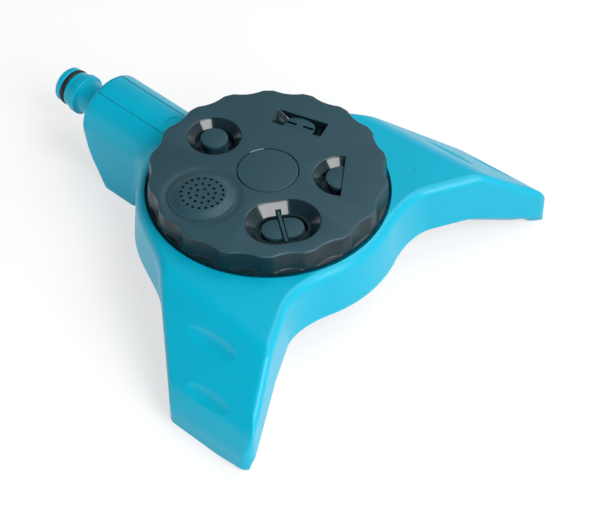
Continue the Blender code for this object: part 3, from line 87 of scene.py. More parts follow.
class Shader:
    # The nodes of a material or of the world
    def __init__(self, owner):
        owner.use_nodes = True
        self.owner = owner
        self.nodes = owner.node_tree.nodes
        self.surface = self.nodes.get("Principled BSDF") or self.nodes.get("Background")

    def add(self, kind, settings=None, inputs=None, output=0):
        node = self.nodes.new(kind)
        for key, value in (settings or {}).items():
            if key == "stops":
                for element, (place, colour) in zip(node.color_ramp.elements, value):
                    element.position = place
                    element.color = colour
            else:
                setattr(node, key, value)
        for key, value in (inputs or {}).items():
            self.feed(node.inputs[key], value)
        return Wire(self, node.outputs[output])

    def feed(self, socket, value):
        if isinstance(value, Wire):
            self.owner.node_tree.links.new(value.socket, socket)
        else:
            socket.default_value = value

    def put(self, **values):
        # Values or wires for the surface, named as its sockets are, with _ for a space
        for key, value in values.items():
            self.feed(self.surface.inputs[key.replace("_", " ")], value)

    def place(self, output=3):
        return self.add("ShaderNodeTexCoord", output=output)

    def rays(self, output):
        # 0 is what the camera sees, 3 a reflection and 6 what is seen through glass
        return self.add("ShaderNodeLightPath", output=output)

    def noise(self, scale, detail=2.0, rough=0.5):
        values = {"Vector": self.place(), "Scale": scale, "Detail": detail, "Roughness": rough}
        return self.add("ShaderNodeTexNoise", inputs=values)

    def ramp(self, factor, low, high):
        return self.add("ShaderNodeValToRGB", {"stops": [(low, black), (high, white)]}, {"Fac": factor})

    def blend(self, factor, first, second):
        settings = {"data_type": "RGBA"}
        return self.add("ShaderNodeMix", settings, {0: factor, 6: first, 7: second}, output=2)

    def bump(self, height, distance, strength):
        values = {"Height": height, "Distance": distance, "Strength": strength}
        return self.add("ShaderNodeBump", inputs=values)

    def along(self, way, direction):
        # How far a direction wire points along a fixed direction, from -1 to 1
        values = {0: way, 1: tuple(Vector(direction).normalized())}
        return self.add("ShaderNodeVectorMath", {"operation": "DOT_PRODUCT"}, values, output=1)


def newShader(name):
    return Shader(bpy.data.materials.new(name))


def tone(red, green, blue):
    # An sRGB colour, 0 to 255, as the linear one that a socket holds
    shares = [c / 255 for c in (red, green, blue)]
    linear = [c / 12.92 if c < 0.04045 else ((c + 0.055) / 1.055) ** 2.4 for c in shares]
    return (*linear, 1.0)


mouldings = dict(grainScale=2600, grainDepth=0.00003, grainStrength=0.55,
                 flowScale=16, flowFade=(0.35, 0.68), flowShare=0.6,
                 speckScale=2600 / 3, speckShare=0.06, patchScale=80, refraction=1.49)


def mouldedPlastic(name, deep, pale, roughness, spread, grain=1.0, shine=0.5, sheen=white):
    # Coloured plastic from a spark-finished mould: slow colour drift, fine grain, dull and shiny patches
    m = mouldings
    shader = newShader(name)
    drift = shader.ramp(shader.noise(m["flowScale"], 3.0, 0.55), *m["flowFade"])
    speck = shader.noise(m["speckScale"], 3.0, 0.6)
    colour = shader.blend(drift * m["flowShare"], deep, pale)
    colour = shader.blend(speck * m["speckShare"], colour, pale)
    patch = shader.noise(m["patchScale"], 4.0, 0.6)
    skin = shader.bump(shader.noise(m["grainScale"]), m["grainDepth"] * grain, m["grainStrength"])
    shader.put(Base_Color=colour, Roughness=roughness + spread * (patch - 0.5), Normal=skin)
    shader.put(IOR=m["refraction"], Specular_IOR_Level=shine, Specular_Tint=sheen)
    return shader.owner


print("finishes")
bodyPlastic = mouldedPlastic("turquoise_plastic", tone(0, 164, 193), tone(0, 173, 203), 0.36, 0.10,
                             shine=0.40, sheen=(0.8, 0.97, 1, 1))
dialPlastic = mouldedPlastic("slate_plastic", tone(36, 68, 78), tone(41, 76, 86), 0.45, 0.12,
                             grain=1.5, shine=0.38)
# The dial's fluted side: smoother slate whose darker colour paints shade onto the side
sideShadePlastic = mouldedPlastic("smooth_slate_plastic_painted_shade", tone(10, 33, 39), tone(14, 38, 45), 0.32, 0.10,
                             grain=0.6, shine=0.40)
# The walls cut into the dial and its inserts: polished slate whose darker colour paints the shade in the recesses
recessShadePlastic = mouldedPlastic("polished_slate_plastic_painted_shade", tone(14, 35, 41), tone(17, 40, 47), 0.13, 0.06,
                                 grain=0.15, shine=0.72)
# The numbers of a grey piece's finishes: its top, what is cut into it, and the dial's fluted side; the last two
# have darker colours, which are painted shade
topFinish, shadedCutFinish, shadedSideFinish = range(3)

cloudiness = dict(spread=0.2, depth=0.00002, strength=0.6)


def plainFinish(name, colour, other, roughness, scale, metallic=0.0):
    c = cloudiness
    shader = newShader(name)
    cloud = shader.noise(scale, 4.0, 0.6)
    shader.put(Base_Color=shader.blend(cloud, colour, other), Metallic=metallic,
               Roughness=roughness + c["spread"] * (cloud - 0.5),
               Normal=shader.bump(cloud, c["depth"], c["strength"]))
    return shader.owner


sealRubber = plainFinish("black_rubber", tone(8, 9, 10), tone(15, 16, 17), 0.62, 700)
screwSteel = plainFinish("zinc_steel", tone(176, 178, 180), tone(205, 206, 204), 0.34, 900, metallic=1.0)
paleAcetal = plainFinish("pale_acetal", tone(218, 217, 210), tone(229, 228, 222), 0.38, 160)


def rawObject(name, bm, *finishes):
    bmesh.ops.recalc_face_normals(bm, faces=bm.faces)
    mesh = bpy.data.meshes.new(name)
    bm.to_mesh(mesh)
    bm.free()
    for finish in finishes:
        mesh.materials.append(finish)
    piece = bpy.data.objects.new(name, mesh)
    bpy.context.scene.collection.objects.link(piece)
    return piece


def combine(piece, operation, bm, finish=topFinish):
    # Joins bm to the piece or cuts it away, with the result kept in the piece's mesh;
    # the faces that it leaves get the piece's finish of that number
    for face in bm.faces:
        face.material_index = finish
    tool = rawObject("tool", bm, *piece.data.materials)
    modifier = piece.modifiers.new("combine", "BOOLEAN")
    modifier.operation = operation
    modifier.solver = "EXACT"
    modifier.object = tool
    shaped = piece.evaluated_get(bpy.context.evaluated_depsgraph_get())
    mesh = bpy.data.meshes.new_from_object(shaped)
    piece.modifiers.clear()
    piece.data = mesh
    bpy.data.objects.remove(tool)


def finished(piece, body, slot, *nodes, skin=None):
    # Cleans the mesh, shades it, moves it to the row frame and ties it to its body
    bm = bmesh.new()
    bm.from_mesh(piece.data)
    bmesh.ops.remove_doubles(bm, verts=bm.verts, dist=weld)
    bmesh.ops.dissolve_degenerate(bm, edges=bm.edges, dist=weld)
    bm.to_mesh(piece.data)
    bm.free()
    piece.data.shade_smooth()
    piece.data.set_sharp_from_angle(angle=math.radians(sharpAngle))
    if skin:
        followSkin(piece.data, skin)
    piece.data.transform(dialFrame)
    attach(piece, body)
    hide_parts(*nodes)


skinFit = dict(step=0.02, reach=0.03, alike=0.8)


def followSkin(mesh, field):
    # Where faces lie on a smooth formula, their shading follows the formula and not the facets
    places = np.zeros(len(mesh.vertices) * 3, np.float32)
    mesh.vertices.foreach_get("co", places)
    places = places.reshape(-1, 3).astype(float)

    def slope(p):
        sides = []
        for axis in np.eye(3) * skinFit["step"]:
            ahead, behind = (p + axis).T, (p - axis).T
            sides.append(field(*ahead) - field(*behind))
        way = np.stack(sides, axis=1)
        return way / np.maximum(np.linalg.norm(way, axis=1), 1e-9)[:, None]

    onSkin = np.abs(field(*places.T)) < skinFit["reach"]
    ways = slope(places)
    count = len(mesh.loops)
    corner = np.zeros(count, np.int32)
    mesh.loops.foreach_get("vertex_index", corner)
    normals = np.zeros(count * 3, np.float32)
    mesh.corner_normals.foreach_get("vector", normals)
    normals = normals.reshape(-1, 3)
    for face in mesh.polygons:
        span = slice(face.loop_start, face.loop_start + face.loop_total)
        spots = corner[span]
        if onSkin[spots].all() and (ways[spots] @ np.array(face.normal)).min() > skinFit["alike"]:
            normals[span] = ways[spots]
    mesh.normals_split_custom_set(normals.tolist())


def closeLoops(bm, loops, ring=False, ends=False):
    # Faces between loops of vertices; a loop of one vertex is a pole
    pairs = list(zip(loops, loops[1:]))
    if ring:
        pairs.append((loops[-1], loops[0]))
    for low, high in pairs:
        count = max(len(low), len(high))
        for i in range(count):
            j = (i + 1) % count
            corners = [low[i % len(low)], low[j % len(low)], high[j % len(high)], high[i % len(high)]]
            bm.faces.new(list(dict.fromkeys(corners)))
    if ends:
        bm.faces.new(loops[0])
        bm.faces.new(loops[-1])


def addLoop(bm, points, matrix):
    return [bm.verts.new(matrix @ Vector(p)) for p in points]


def turned(bm, profile, sides=96, matrix=Matrix.Identity(4), ring=False):
    # A profile of (radius, height) turned about Z; a radius of 0 is a point on the axis
    angles = [2 * math.pi * i / sides for i in range(sides)]
    loops = []
    for radius, height in profile:
        if radius == 0:
            loops.append(addLoop(bm, [(0, 0, height)], matrix))
        else:
            points = [(radius * math.cos(a), radius * math.sin(a), height) for a in angles]
            loops.append(addLoop(bm, points, matrix))
    closeLoops(bm, loops, ring)


def stacked(bm, layers, matrix=Matrix.Identity(4)):
    # Outlines of the same number of points, each at its height, closed at both ends
    loops = [addLoop(bm, [(x, y, z) for x, y in outline], matrix) for outline, z in layers]
    closeLoops(bm, loops, ends=True)


def cylinder(bm, radius, low, high, sides=96, matrix=Matrix.Identity(4)):
    turned(bm, [(0, low), (radius, low), (radius, high), (0, high)], sides, matrix)


def box(bm, low, high, matrix=Matrix.Identity(4)):
    outline = [(low[0], low[1]), (high[0], low[1]), (high[0], high[1]), (low[0], high[1])]
    stacked(bm, [(outline, low[2]), (outline, high[2])], matrix)


def arc(radius, start, end, steps, centre=(0.0, 0.0)):
    angles = [start + (end - start) * i / steps for i in range(steps + 1)]
    return [(centre[0] + radius * math.cos(a), centre[1] + radius * math.sin(a)) for a in angles]


def softened(points, radius, steps=4):
    # An open line with its inner corners rounded, by at most 45% of the shorter side there;
    # a corner that turns less than 3 degrees stays
    most, least = 0.45, math.radians(3)
    result = [points[0]]
    for before, corner, after in zip(points, points[1:], points[2:]):
        back = Vector(before) - Vector(corner)
        ahead = Vector(after) - Vector(corner)
        turn = math.pi - back.angle(ahead)
        if turn < least:
            result.append(corner)
            continue
        reach = min(radius * math.tan(turn / 2), most * back.length, most * ahead.length)
        first = Vector(corner) + back.normalized() * reach
        last = Vector(corner) + ahead.normalized() * reach
        for i in range(steps + 1):
            t = i / steps
            spot = (1 - t) ** 2 * first + 2 * t * (1 - t) * Vector(corner) + t ** 2 * last
            result.append((spot.x, spot.y))
    return result + [points[-1]]


def at(x, y, z=0.0):
    return Matrix.Translation((x, y, z))


def around(radius, angle):
    # The frame of a feature on the dial: X outward, Y along the turn
    return Matrix.Rotation(angle, 4, "Z") @ at(radius, 0)


def alongX(height):
    # Turns a profile's height into a distance along X
    return at(0, 0, height) @ Matrix.Rotation(math.pi / 2, 4, "Y")


# The stand: one moulding of ring, pan, two wings and the inlet housing
standSize = dict(
    ringRadius=53.2, ringFlare=1.6, deckZ=37.0, ringFootZ=14.9, shoulder=4.2, lip=49.5, lipEdge=0.35,
    panFloorZ=32.5, panThickness=2.5, panRim=0.8, wall=2.5,
    tipY=92.0, tipLength=6.5, tipDrop=5.0, frontX=75.9, rearX=33.5,
    frontAngle=math.radians(28.0), rearAngle=math.radians(48.4),
    wingStartX=-20.0, foldY=59.6, foldSkew=0.082, slope=0.828, foldRounding=2.4,
    frontCorner=6.26, rearCorner=1.2, frontBlend=12.0, rearBlend=6.5, blendChangeX=22.0,
    frontEdge=3.8, rearEdge=1.6, tipEdge=1.3,
    footRiseY=59.5, footSlope=0.36, footLength=1.2, footStep=2.4, cornerRise=1.4,
    pipeZ=22.9, archRadius=17.2, housingFlare=0.064, endX=-92.1, endBreakZ=19.6, endLean=0.677,
    endEdge=1.6, endBreak=7.3, housingInnerX=-40.0, housingBlend=9.5, crestBlend=2.5,
    rearLegX=-60.6, rearLegRamp=1.5, panelHalf=6.7, panelThickness=2.5, panelEndX=-90.5,
    sleeveRadius=11.3, sleeveRise=0.4, sleeveLength=11.0, sleeveEdge=0.3, flareRadius=9.0,
    webHalf=1.25, webStartX=-79.0, webEndX=-57.0,
    dimples=(((36.3, 71.2), 26.4, 7.8), ((47.5, 85.6), 23.0, 6.9)), dimpleDepth=1.0, lensShare=3,
    gate=(36.2, 46.9), gateRadius=1.5, gateDepth=0.15,
    samples=6001, directions=240, archDirections=36, rays=400, outerLoops=60, innerLoops=20)


def roundedAnd(a, b, radius):
    # What two solids share, given as distances outside them, with its edge rounded
    edge = np.hypot(np.maximum(a + radius, 0), np.maximum(b + radius, 0))
    return np.minimum(-radius, np.maximum(a, b)) + edge


def roundedOr(a, b, radius):
    # Two solids joined, with a fillet between them
    corner = np.hypot(np.maximum(radius - a, 0), np.maximum(radius - b, 0))
    return np.maximum(radius, np.minimum(a, b)) - corner


def ease(value, low, high):
    t = np.clip((value - low) / (high - low), 0, 1)
    return t * t * (3 - 2 * t)


def wingWalls(x, y):
    # Distances outside the front wall, the rear wall and the tip edge
    s = standSize
    front = (x - s["frontX"]) * math.cos(s["frontAngle"]) - (y - s["tipY"]) * math.sin(s["frontAngle"])
    rear = (s["rearX"] - x) * math.cos(s["rearAngle"]) + (y - s["tipY"]) * math.sin(s["rearAngle"])
    return front, rear, y - s["tipY"]


def standPlan(x, y, z):
    # Distance outside the ring and the wing, as seen from above; the ring flares towards its foot
    s = standSize
    radius = s["ringRadius"] + s["ringFlare"] * (s["deckZ"] - z) / (s["deckZ"] - s["ringFootZ"])
    ring = np.hypot(x, y) - radius
    front, rear, tip = wingWalls(x, y)
    wing = roundedAnd(front, tip, s["frontCorner"])
    wing = roundedAnd(wing, rear, s["rearCorner"])
    wing = np.maximum(wing, s["wingStartX"] - x)
    return roundedOr(ring, wing, np.where(x > s["blendChangeX"], s["frontBlend"], s["rearBlend"]))


def wingZ(x, y):
    # A plane that rounds down over the last few millimetres before the tip
    s = standSize
    past = np.maximum(y - s["tipY"] + s["tipLength"], 0) / s["tipLength"]
    return s["deckZ"] - s["slope"] * (y - s["foldY"] - s["foldSkew"] * x) - s["tipDrop"] * past ** 3


def standTop(x, y, z):
    s = standSize
    slant = math.sqrt(1 + s["slope"] ** 2 * (1 + s["foldSkew"] ** 2))
    return roundedAnd(z - s["deckZ"], (z - wingZ(x, y)) / slant, s["foldRounding"])


def standEdge(x, y):
    # Radius of the top edge: wide on the ring and in front, tight at the rear of a wing
    s = standSize
    rear = wingWalls(x, y)[1]
    fade = s["rearBlend"]
    outside = ease(np.hypot(x, y), s["ringRadius"] + fade / 3, s["ringRadius"] + 2 * fade)
    front = s["shoulder"] + (s["frontEdge"] - s["shoulder"]) * outside
    edge = front + (s["rearEdge"] - front) * outside * ease(rear, -3 * fade, -fade / 3)
    atTip = ease(y, s["tipY"] - 3 * s["frontEdge"], s["tipY"] - s["frontEdge"])
    return edge + (s["tipEdge"] - edge) * atTip


def housing(x, y, z):
    s = standSize
    above = np.hypot(y, z - s["pipeZ"]) - s["archRadius"]
    below = y - (s["archRadius"] + s["housingFlare"] * (s["pipeZ"] - z))
    side = np.where(z > s["pipeZ"], above, below)
    lowerEnd = (s["endX"] + s["endLean"] * (s["endBreakZ"] - z) - x) / math.hypot(1, s["endLean"])
    end = roundedAnd(s["endX"] - x, lowerEnd, s["endBreak"])
    return np.maximum(roundedAnd(side, end, s["endEdge"]), x - s["housingInnerX"])


def standSolid(x, y, z):
    # Negative inside the outer skin
    s = standSize
    y = np.abs(y)
    body = roundedAnd(standPlan(x, y, z), standTop(x, y, z), standEdge(x, y))
    high = ease(z, s["deckZ"] - 2 * s["shoulder"], s["deckZ"])
    fillet = s["housingBlend"] + (s["crestBlend"] - s["housingBlend"]) * high
    return roundedOr(body, housing(x, y, z), fillet)


def standHollow(x, y, z):
    return standSolid(x, y, z) + standSize["wall"]


def outermost(field, xWay, yWay, zWay, startX, startY, startZ):
    # Distance along each ray to where it leaves the solid
    near = np.zeros(np.broadcast(xWay, zWay, startZ).shape)
    far = np.full_like(near, rayLength)
    for _ in range(halvings):
        middle = (near + far) / 2
        inside = field(startX + middle * xWay, startY + middle * yWay, startZ + middle * zWay) < 0
        near = np.where(inside, middle, near)
        far = np.where(inside, far, middle)
    return far


def spaced(across, up, count, turnShare):
    # Points along a curve, spaced partly by length and partly by how much the curve turns
    stepAcross, stepUp = np.diff(across), np.diff(up)
    length = np.hypot(stepAcross, stepUp)
    turn = np.abs(np.diff(np.unwrap(np.arctan2(stepUp, stepAcross))))
    turn = np.concatenate(([0], turn)) + np.concatenate((turn, [0]))
    weight = (1 - turnShare) * length / length.sum() + turnShare * turn / max(turn.sum(), 1e-9)
    place = np.concatenate(([0], np.cumsum(weight)))
    wanted = np.linspace(0, place[-1], count + 1)
    return np.interp(wanted, place, across), np.interp(wanted, place, up)


def standDirections():
    # Directions round the stand from the front to the inlet, closer together at the corners
    s = standSize
    corner = math.atan2(s["archRadius"], s["endX"])
    angle = np.linspace(0, corner, s["samples"])
    level = np.zeros_like(angle)
    radius = outermost(standSolid, np.cos(angle), np.sin(angle), level, 0, 0, level + s["ringFootZ"] / 2)
    across, up = radius * np.cos(angle), radius * np.sin(angle)
    x, y = spaced(across, up, s["directions"], turnShare=0.35)
    ways = np.arctan2(y, x)
    # The feet start and end at directions of their own
    corners = []
    for side in (s["footStep"], 0):
        inFoot = up > s["tipY"] - s["footLength"] - side
        corners += [angle[np.argmax(inFoot)], angle[-1 - np.argmax(inFoot[::-1])]]
    for side in (s["rearLegRamp"], 0):
        corners.append(angle[-1 - np.argmax(across[::-1] > s["rearLegX"] + side)])
    apart = np.abs(ways[:, None] - np.array(corners)).min(axis=1)
    ways = np.sort(np.concatenate((ways[apart > math.radians(0.1)], corners)))
    arch = np.linspace(math.pi / 2, 0, s["archDirections"] + 1)[1:]
    return np.concatenate((ways, np.arctan2(s["archRadius"] * np.sin(arch), s["endX"])))


def footHeight(x, y):
    # The ring is clear of the ground and three feet reach it; the wings' front corners stay just off it
    s = standSize
    height = np.minimum(s["ringFootZ"] - s["footSlope"] * (y - s["footRiseY"]), s["ringFootZ"])
    footY = s["tipY"] - s["footLength"]
    height = height * (1 - ease(y, footY - s["footStep"], footY))
    cornerX = s["frontX"] - s["frontCorner"]
    height = np.maximum(height, s["cornerRise"] * ease(x, cornerX - 2 * s["frontCorner"], cornerX))
    return height * ease(x, s["rearLegX"], s["rearLegX"] + s["rearLegRamp"])


def section(field, cosA, sinA, startR, startZ, first, count, turnShare):
    # A curve of (radius, height) for each direction, traced by rays that fan down from first
    sweep = first * np.linspace(1, 0, standSize["rays"])[None, :]
    along, rise = np.cos(sweep), np.sin(sweep)
    reach = outermost(field, along * cosA, along * sinA, rise, startR * cosA, startR * sinA, startZ)
    radius, height = startR + reach * along, startZ + reach * rise
    return [spaced(r, z, count, turnShare) for r, z in zip(radius, height)]


def standProfiles(angle):
    s = standSize
    cosA, sinA = np.cos(angle)[:, None], np.sin(angle)[:, None]
    zero = np.zeros_like(cosA)
    plan = outermost(standSolid, cosA, sinA, zero, 0, 0, zero + s["ringFootZ"] / 2)
    foot = footHeight(plan * cosA, plan * sinA)
    lip = s["lip"] + s["lipEdge"]
    lipZ = outermost(standSolid, zero, zero, zero + 1, lip * cosA, lip * sinA, foot) + foot
    outerStart = lip - 2 * s["shoulder"]
    outer = section(standSolid, cosA, sinA, outerStart, foot, np.arctan2(lipZ - foot, lip - outerStart),
                    s["outerLoops"], turnShare=0.5)
    innerStart = lip - 4 * s["shoulder"]
    ceiling = s["panFloorZ"] - s["panThickness"]
    corner = np.arctan2(ceiling - foot, s["lip"] + s["panRim"] - innerStart)
    inner = section(standHollow, cosA, sinA, innerStart, foot, corner, s["innerLoops"], turnShare=0.7)
    return outer, inner


def standSkin():
    s = standSize
    half = standDirections()
    outer, inner = standProfiles(half)
    mirror = list(range(len(half) - 2, 0, -1))
    angle = np.concatenate((half, -half[mirror]))
    outer = outer + [outer[i] for i in mirror]
    inner = inner + [inner[i] for i in mirror]
    bm = bmesh.new()

    def loop(places):
        return [bm.verts.new((r * math.cos(a), r * math.sin(a), z)) for (r, z), a in zip(places, angle)]

    loops = [[bm.verts.new((0, 0, s["panFloorZ"]))], loop([(s["lip"], s["panFloorZ"])] * len(angle))]
    for turn in np.linspace(0, math.pi / 2, 4)[:-1]:
        radius = s["lip"] + s["lipEdge"] * (1 - math.cos(turn))
        drop = s["lipEdge"] * (1 - math.sin(turn))
        loops.append(loop([(radius, z[0] - drop) for r, z in outer]))
    for k in range(s["outerLoops"] + 1):
        loops.append(loop([(r[k], z[k]) for r, z in outer]))
    for k in range(s["innerLoops"], -1, -1):
        loops.append(loop([(r[k], z[k]) for r, z in inner]))
    ceiling = s["panFloorZ"] - s["panThickness"]
    loops.append(loop([(s["lip"] + s["panRim"], ceiling)] * len(angle)))
    loops.append([bm.verts.new((0, 0, ceiling))])
    closeLoops(bm, loops)
    return bm


def addDimples(bm):
    # Shallow lenses: slices of wide ellipsoids sunk into the sloping wing
    s = standSize
    for (x, y), length, width in s["dimples"]:
        for side in (1, -1):
            depth = s["lensShare"] * s["dimpleDepth"]
            share = math.sqrt(1 - (1 - s["dimpleDepth"] / depth) ** 2)
            size = Matrix.Diagonal((length / 2 / share, width / 2 / share, depth, 1))
            along = Vector((1, 0, s["slope"] * s["foldSkew"])).normalized()
            up = Vector((-s["slope"] * s["foldSkew"], side * s["slope"], 1)).normalized()
            tilt = Matrix((along, up.cross(along), up)).transposed().to_4x4()
            place = at(x, side * y, wingZ(x, y)) @ tilt @ at(0, 0, depth - s["dimpleDepth"])
            bmesh.ops.create_uvsphere(bm, u_segments=72, v_segments=36, radius=1, matrix=place @ size)


def archStrip(bm, half, inner, outer, startX, endX, steps=32, edge=0.0):
    # A strip of the housing's arch with upright sides, from startX to endX
    def layer(radius, side):
        reach = math.asin(side / radius)
        return [(radius * math.sin(a), standSize["pipeZ"] + radius * math.cos(a))
                for a in np.linspace(reach, -reach, steps + 1)]
    outline = layer(outer, half - edge) + layer(outer - edge, half)[-1:] + layer(inner, half)[::-1]
    outline += layer(outer - edge, half)[:1]
    loops = [[bm.verts.new((x, y, z)) for y, z in outline] for x in (startX, endX)]
    closeLoops(bm, loops, ends=True)


portSize = dict(pitch=29.65, cup=9.3, cupBore=7.3, cupTopZ=33.6, cupSeatZ=28.2, cupFootZ=17.0, port=4.0,
                earReach=15.0, earThickness=2.5, earHalf=3.6, bossLength=4.0, bossRadius=3.6,
                shank=1.4, grip=3.0)
hubSize = dict(well=12.5, wellWall=1.5, wellEdge=0.2, floorZ=42.0, floor=2.0,
               pivotBoss=6.5, pivotShank=1.9, pivotDepth=9.5)


def fixingPlaces():
    # Screws round the port cup: one each side of it and one past it
    p = portSize
    return [(-p["pitch"], p["earReach"]), (-p["pitch"], -p["earReach"]), (p["earReach"] - p["pitch"], 0)]


def makeStand():
    s, p = standSize, portSize
    stand = rawObject("stand", standSkin(), bodyPlastic)
    middle = s["panFloorZ"] - s["panThickness"] / 2
    ceiling = s["panFloorZ"] - s["panThickness"]
    bossFootZ = ceiling - p["bossLength"]
    bosses = bmesh.new()
    cylinder(bosses, hubSize["pivotBoss"], middle, hubSize["floorZ"])
    for x, y in fixingPlaces():
        cylinder(bosses, p["bossRadius"], bossFootZ, middle, 48, at(x, y))
    sleeve = at(s["endX"], 0, s["pipeZ"]) @ Matrix.Rotation(math.pi / 2, 4, "Y")
    collar = [(0, -s["sleeveRise"]), (s["sleeveRadius"], -s["sleeveRise"]),
              (s["sleeveRadius"], s["sleeveLength"]), (0, s["sleeveLength"])]
    turned(bosses, softened(collar, s["sleeveEdge"]), matrix=sleeve)
    combine(stand, "UNION", bosses)

    cuts = bmesh.new()
    cylinder(cuts, p["cup"] + gap, ceiling - sink, s["panFloorZ"] + sink, matrix=at(-p["pitch"], 0))
    cylinder(cuts, hubSize["pivotShank"] + gap, hubSize["floorZ"] - hubSize["pivotDepth"],
             hubSize["floorZ"] + sink, 32)
    for x, y in fixingPlaces():
        cylinder(cuts, p["shank"] + gap, bossFootZ - sink, bossFootZ + p["grip"] + 2 * gap, 32, at(x, y))
    combine(stand, "DIFFERENCE", cuts)

    slot = bmesh.new()
    archStrip(slot, s["panelHalf"] + gap, s["archRadius"] - s["panelThickness"] - sink,
              s["archRadius"] + 3 * sink, s["panelEndX"] - gap, 2 * sink - s["lip"])
    combine(stand, "DIFFERENCE", slot)
    nose = bmesh.new()
    cylinder(nose, s["flareRadius"] + gap, -sink, s["sleeveLength"] + sink, matrix=sleeve)
    side = s["webHalf"] + gap
    box(nose, (s["webStartX"] - gap, -side, s["pipeZ"] + pipeSize["radius"]),
        (s["webEndX"] + gap, side, s["pipeZ"] + s["archRadius"]))
    addDimples(nose)
    cylinder(nose, s["gateRadius"], s["deckZ"] - s["gateDepth"], s["deckZ"] + sink, 32, at(*s["gate"]))
    combine(stand, "DIFFERENCE", nose)
    finished(stand, "stand", "body_plastic", "base_shell", skin=standSolid)


pipeSize = dict(
    radius=6.8, bore=4.5, mouthChamfer=0.6, tipX=-118.3, flange=7.8, nose=8.0,
    ringX=-113.8, ringRadius=8.15, ringWire=1.25, ringPlay=0.1, ringSqueeze=0.05,
    collar=8.9, collarFrontX=-108.5, collarBackX=-105.0, neck=7.1, neckBackX=-98.1, chamfer=0.8, edge=0.5,
    panelDiscX=-49.8, pointerRadius=6.5, pointerDepth=0.8, panelEdge=0.25)


def noseProfile():
    # (radius, x) of the inlet from its tip to where it goes into the pipe
    n, s = pipeSize, standSize
    half = n["ringWire"] + n["ringPlay"]
    groove = n["ringRadius"] - 2 * n["ringWire"] - n["ringSqueeze"]
    grooveFront, grooveBack = n["ringX"] - half, n["ringX"] + half
    c = n["chamfer"]
    flareX = s["endX"] + s["wall"]
    return [(n["flange"] - c, n["tipX"]), (n["flange"], n["tipX"] + c), (n["flange"], grooveFront),
            (groove, grooveFront), (groove, grooveBack), (n["nose"], grooveBack),
            (n["nose"], n["collarFrontX"] - c), (n["collar"], n["collarFrontX"]),
            (n["collar"], n["collarBackX"] - c), (n["neck"], n["collarBackX"]), (n["neck"], n["neckBackX"]),
            (s["flareRadius"], s["endX"]), (s["flareRadius"], flareX),
            (n["radius"], flareX + s["flareRadius"] - n["radius"]), (n["radius"], -portSize["pitch"])]


def makeManifold():
    n, s, p = pipeSize, standSize, portSize
    pipe = bmesh.new()
    profile = [(0, n["tipX"])] + softened(noseProfile(), n["edge"], steps=5) + [(0, -p["pitch"])]
    turned(pipe, profile, matrix=alongX(s["pipeZ"]))
    manifold = rawObject("inlet", pipe, bodyPlastic)
    cup = bmesh.new()
    cylinder(cup, p["cup"], p["cupFootZ"], p["cupTopZ"], matrix=at(-p["pitch"], 0))
    box(cup, (s["webStartX"], -s["webHalf"], s["pipeZ"] + n["radius"] / 2),
        (s["webEndX"], s["webHalf"], s["pipeZ"] + s["archRadius"] - s["panelThickness"] / 2))
    combine(manifold, "UNION", cup)
    plates = bmesh.new()
    archStrip(plates, s["panelHalf"], s["archRadius"] - s["panelThickness"], s["archRadius"],
              s["panelEndX"], n["panelDiscX"], edge=n["panelEdge"])
    high = s["panFloorZ"] - s["panThickness"] - p["bossLength"] - gap
    low = high - p["earThickness"]
    half, reach = p["earHalf"], p["earReach"]
    left, right = -p["pitch"] - half, -p["pitch"] + half
    endY, endX = reach + half, reach - p["pitch"] + half
    ears = [(left, -endY), (right, -endY), (right, -half), (endX, -half),
            (endX, half), (right, half), (right, endY), (left, endY)]
    stacked(plates, [(ears, low), (ears, high)])
    combine(manifold, "UNION", plates)
    bore = bmesh.new()
    c = n["mouthChamfer"]
    mouth = [(0, n["tipX"] - sink), (n["bore"] + c + sink, n["tipX"] - sink), (n["bore"], n["tipX"] + c),
             (n["bore"], -p["pitch"]), (0, -p["pitch"])]
    turned(bore, mouth, matrix=alongX(s["pipeZ"]))
    combine(manifold, "DIFFERENCE", bore)
    cuts = bmesh.new()
    well = [(0, s["pipeZ"]), (p["port"], s["pipeZ"]), (p["port"], p["cupSeatZ"]),
            (p["cupBore"], p["cupSeatZ"]), (p["cupBore"], p["cupTopZ"] + sink), (0, p["cupTopZ"] + sink)]
    turned(cuts, well, matrix=at(-p["pitch"], 0))
    for x, y in fixingPlaces():
        cylinder(cuts, p["shank"] + gap, low - sink, high + sink, 32, at(x, y))
    topZ = s["pipeZ"] + s["archRadius"]
    cylinder(cuts, n["pointerRadius"], topZ - n["pointerDepth"], topZ + sink, matrix=at(n["panelDiscX"], 0))
    combine(manifold, "DIFFERENCE", cuts)
    finished(manifold, "stand", "body_plastic", "inlet_manifold")


def makeSealRing():
    n = pipeSize
    bm = bmesh.new()
    centre = (n["ringRadius"] - n["ringWire"], n["ringX"])
    wire = arc(n["ringWire"], 0, 2 * math.pi, 24, centre)[:-1]
    turned(bm, wire, matrix=alongX(standSize["pipeZ"]), ring=True)
    finished(rawObject("seal_ring", bm, sealRubber), "stand", "seal_rubber", "connector_o_ring")


# The dial
dialSize = dict(
    topZ=46.9, radius=48.0, footRadius=48.7, footZ=36.7, plate=2.4, skirtInner=44.9,
    topEdge=0.7, footEdge=0.3, flutes=18, flutePhase=math.radians(2.5),
    fluteDepth=1.5, fluteShare=0.74, fluteSteps=28, ledgeZ=38.3,
    # Where the flutes run out: heights over the ledge, each with its share of their depth
    runOut=((0.9, 1), (0.5, 0.93), (0.2, 0.72), (0.05, 0.3), (-0.1, 0)),
    nozzles=5, phase=math.radians(36), pitch=portSize["pitch"], boss=13.6, bossFootZ=40.4,
    recess=3.0, rim=0.45)
halfNozzle, squareNozzle, circleNozzle, roseNozzle, twinNozzle = range(dialSize["nozzles"])


def nozzleFrame(index):
    d = dialSize
    return around(d["pitch"], d["phase"] + 2 * math.pi * index / d["nozzles"])


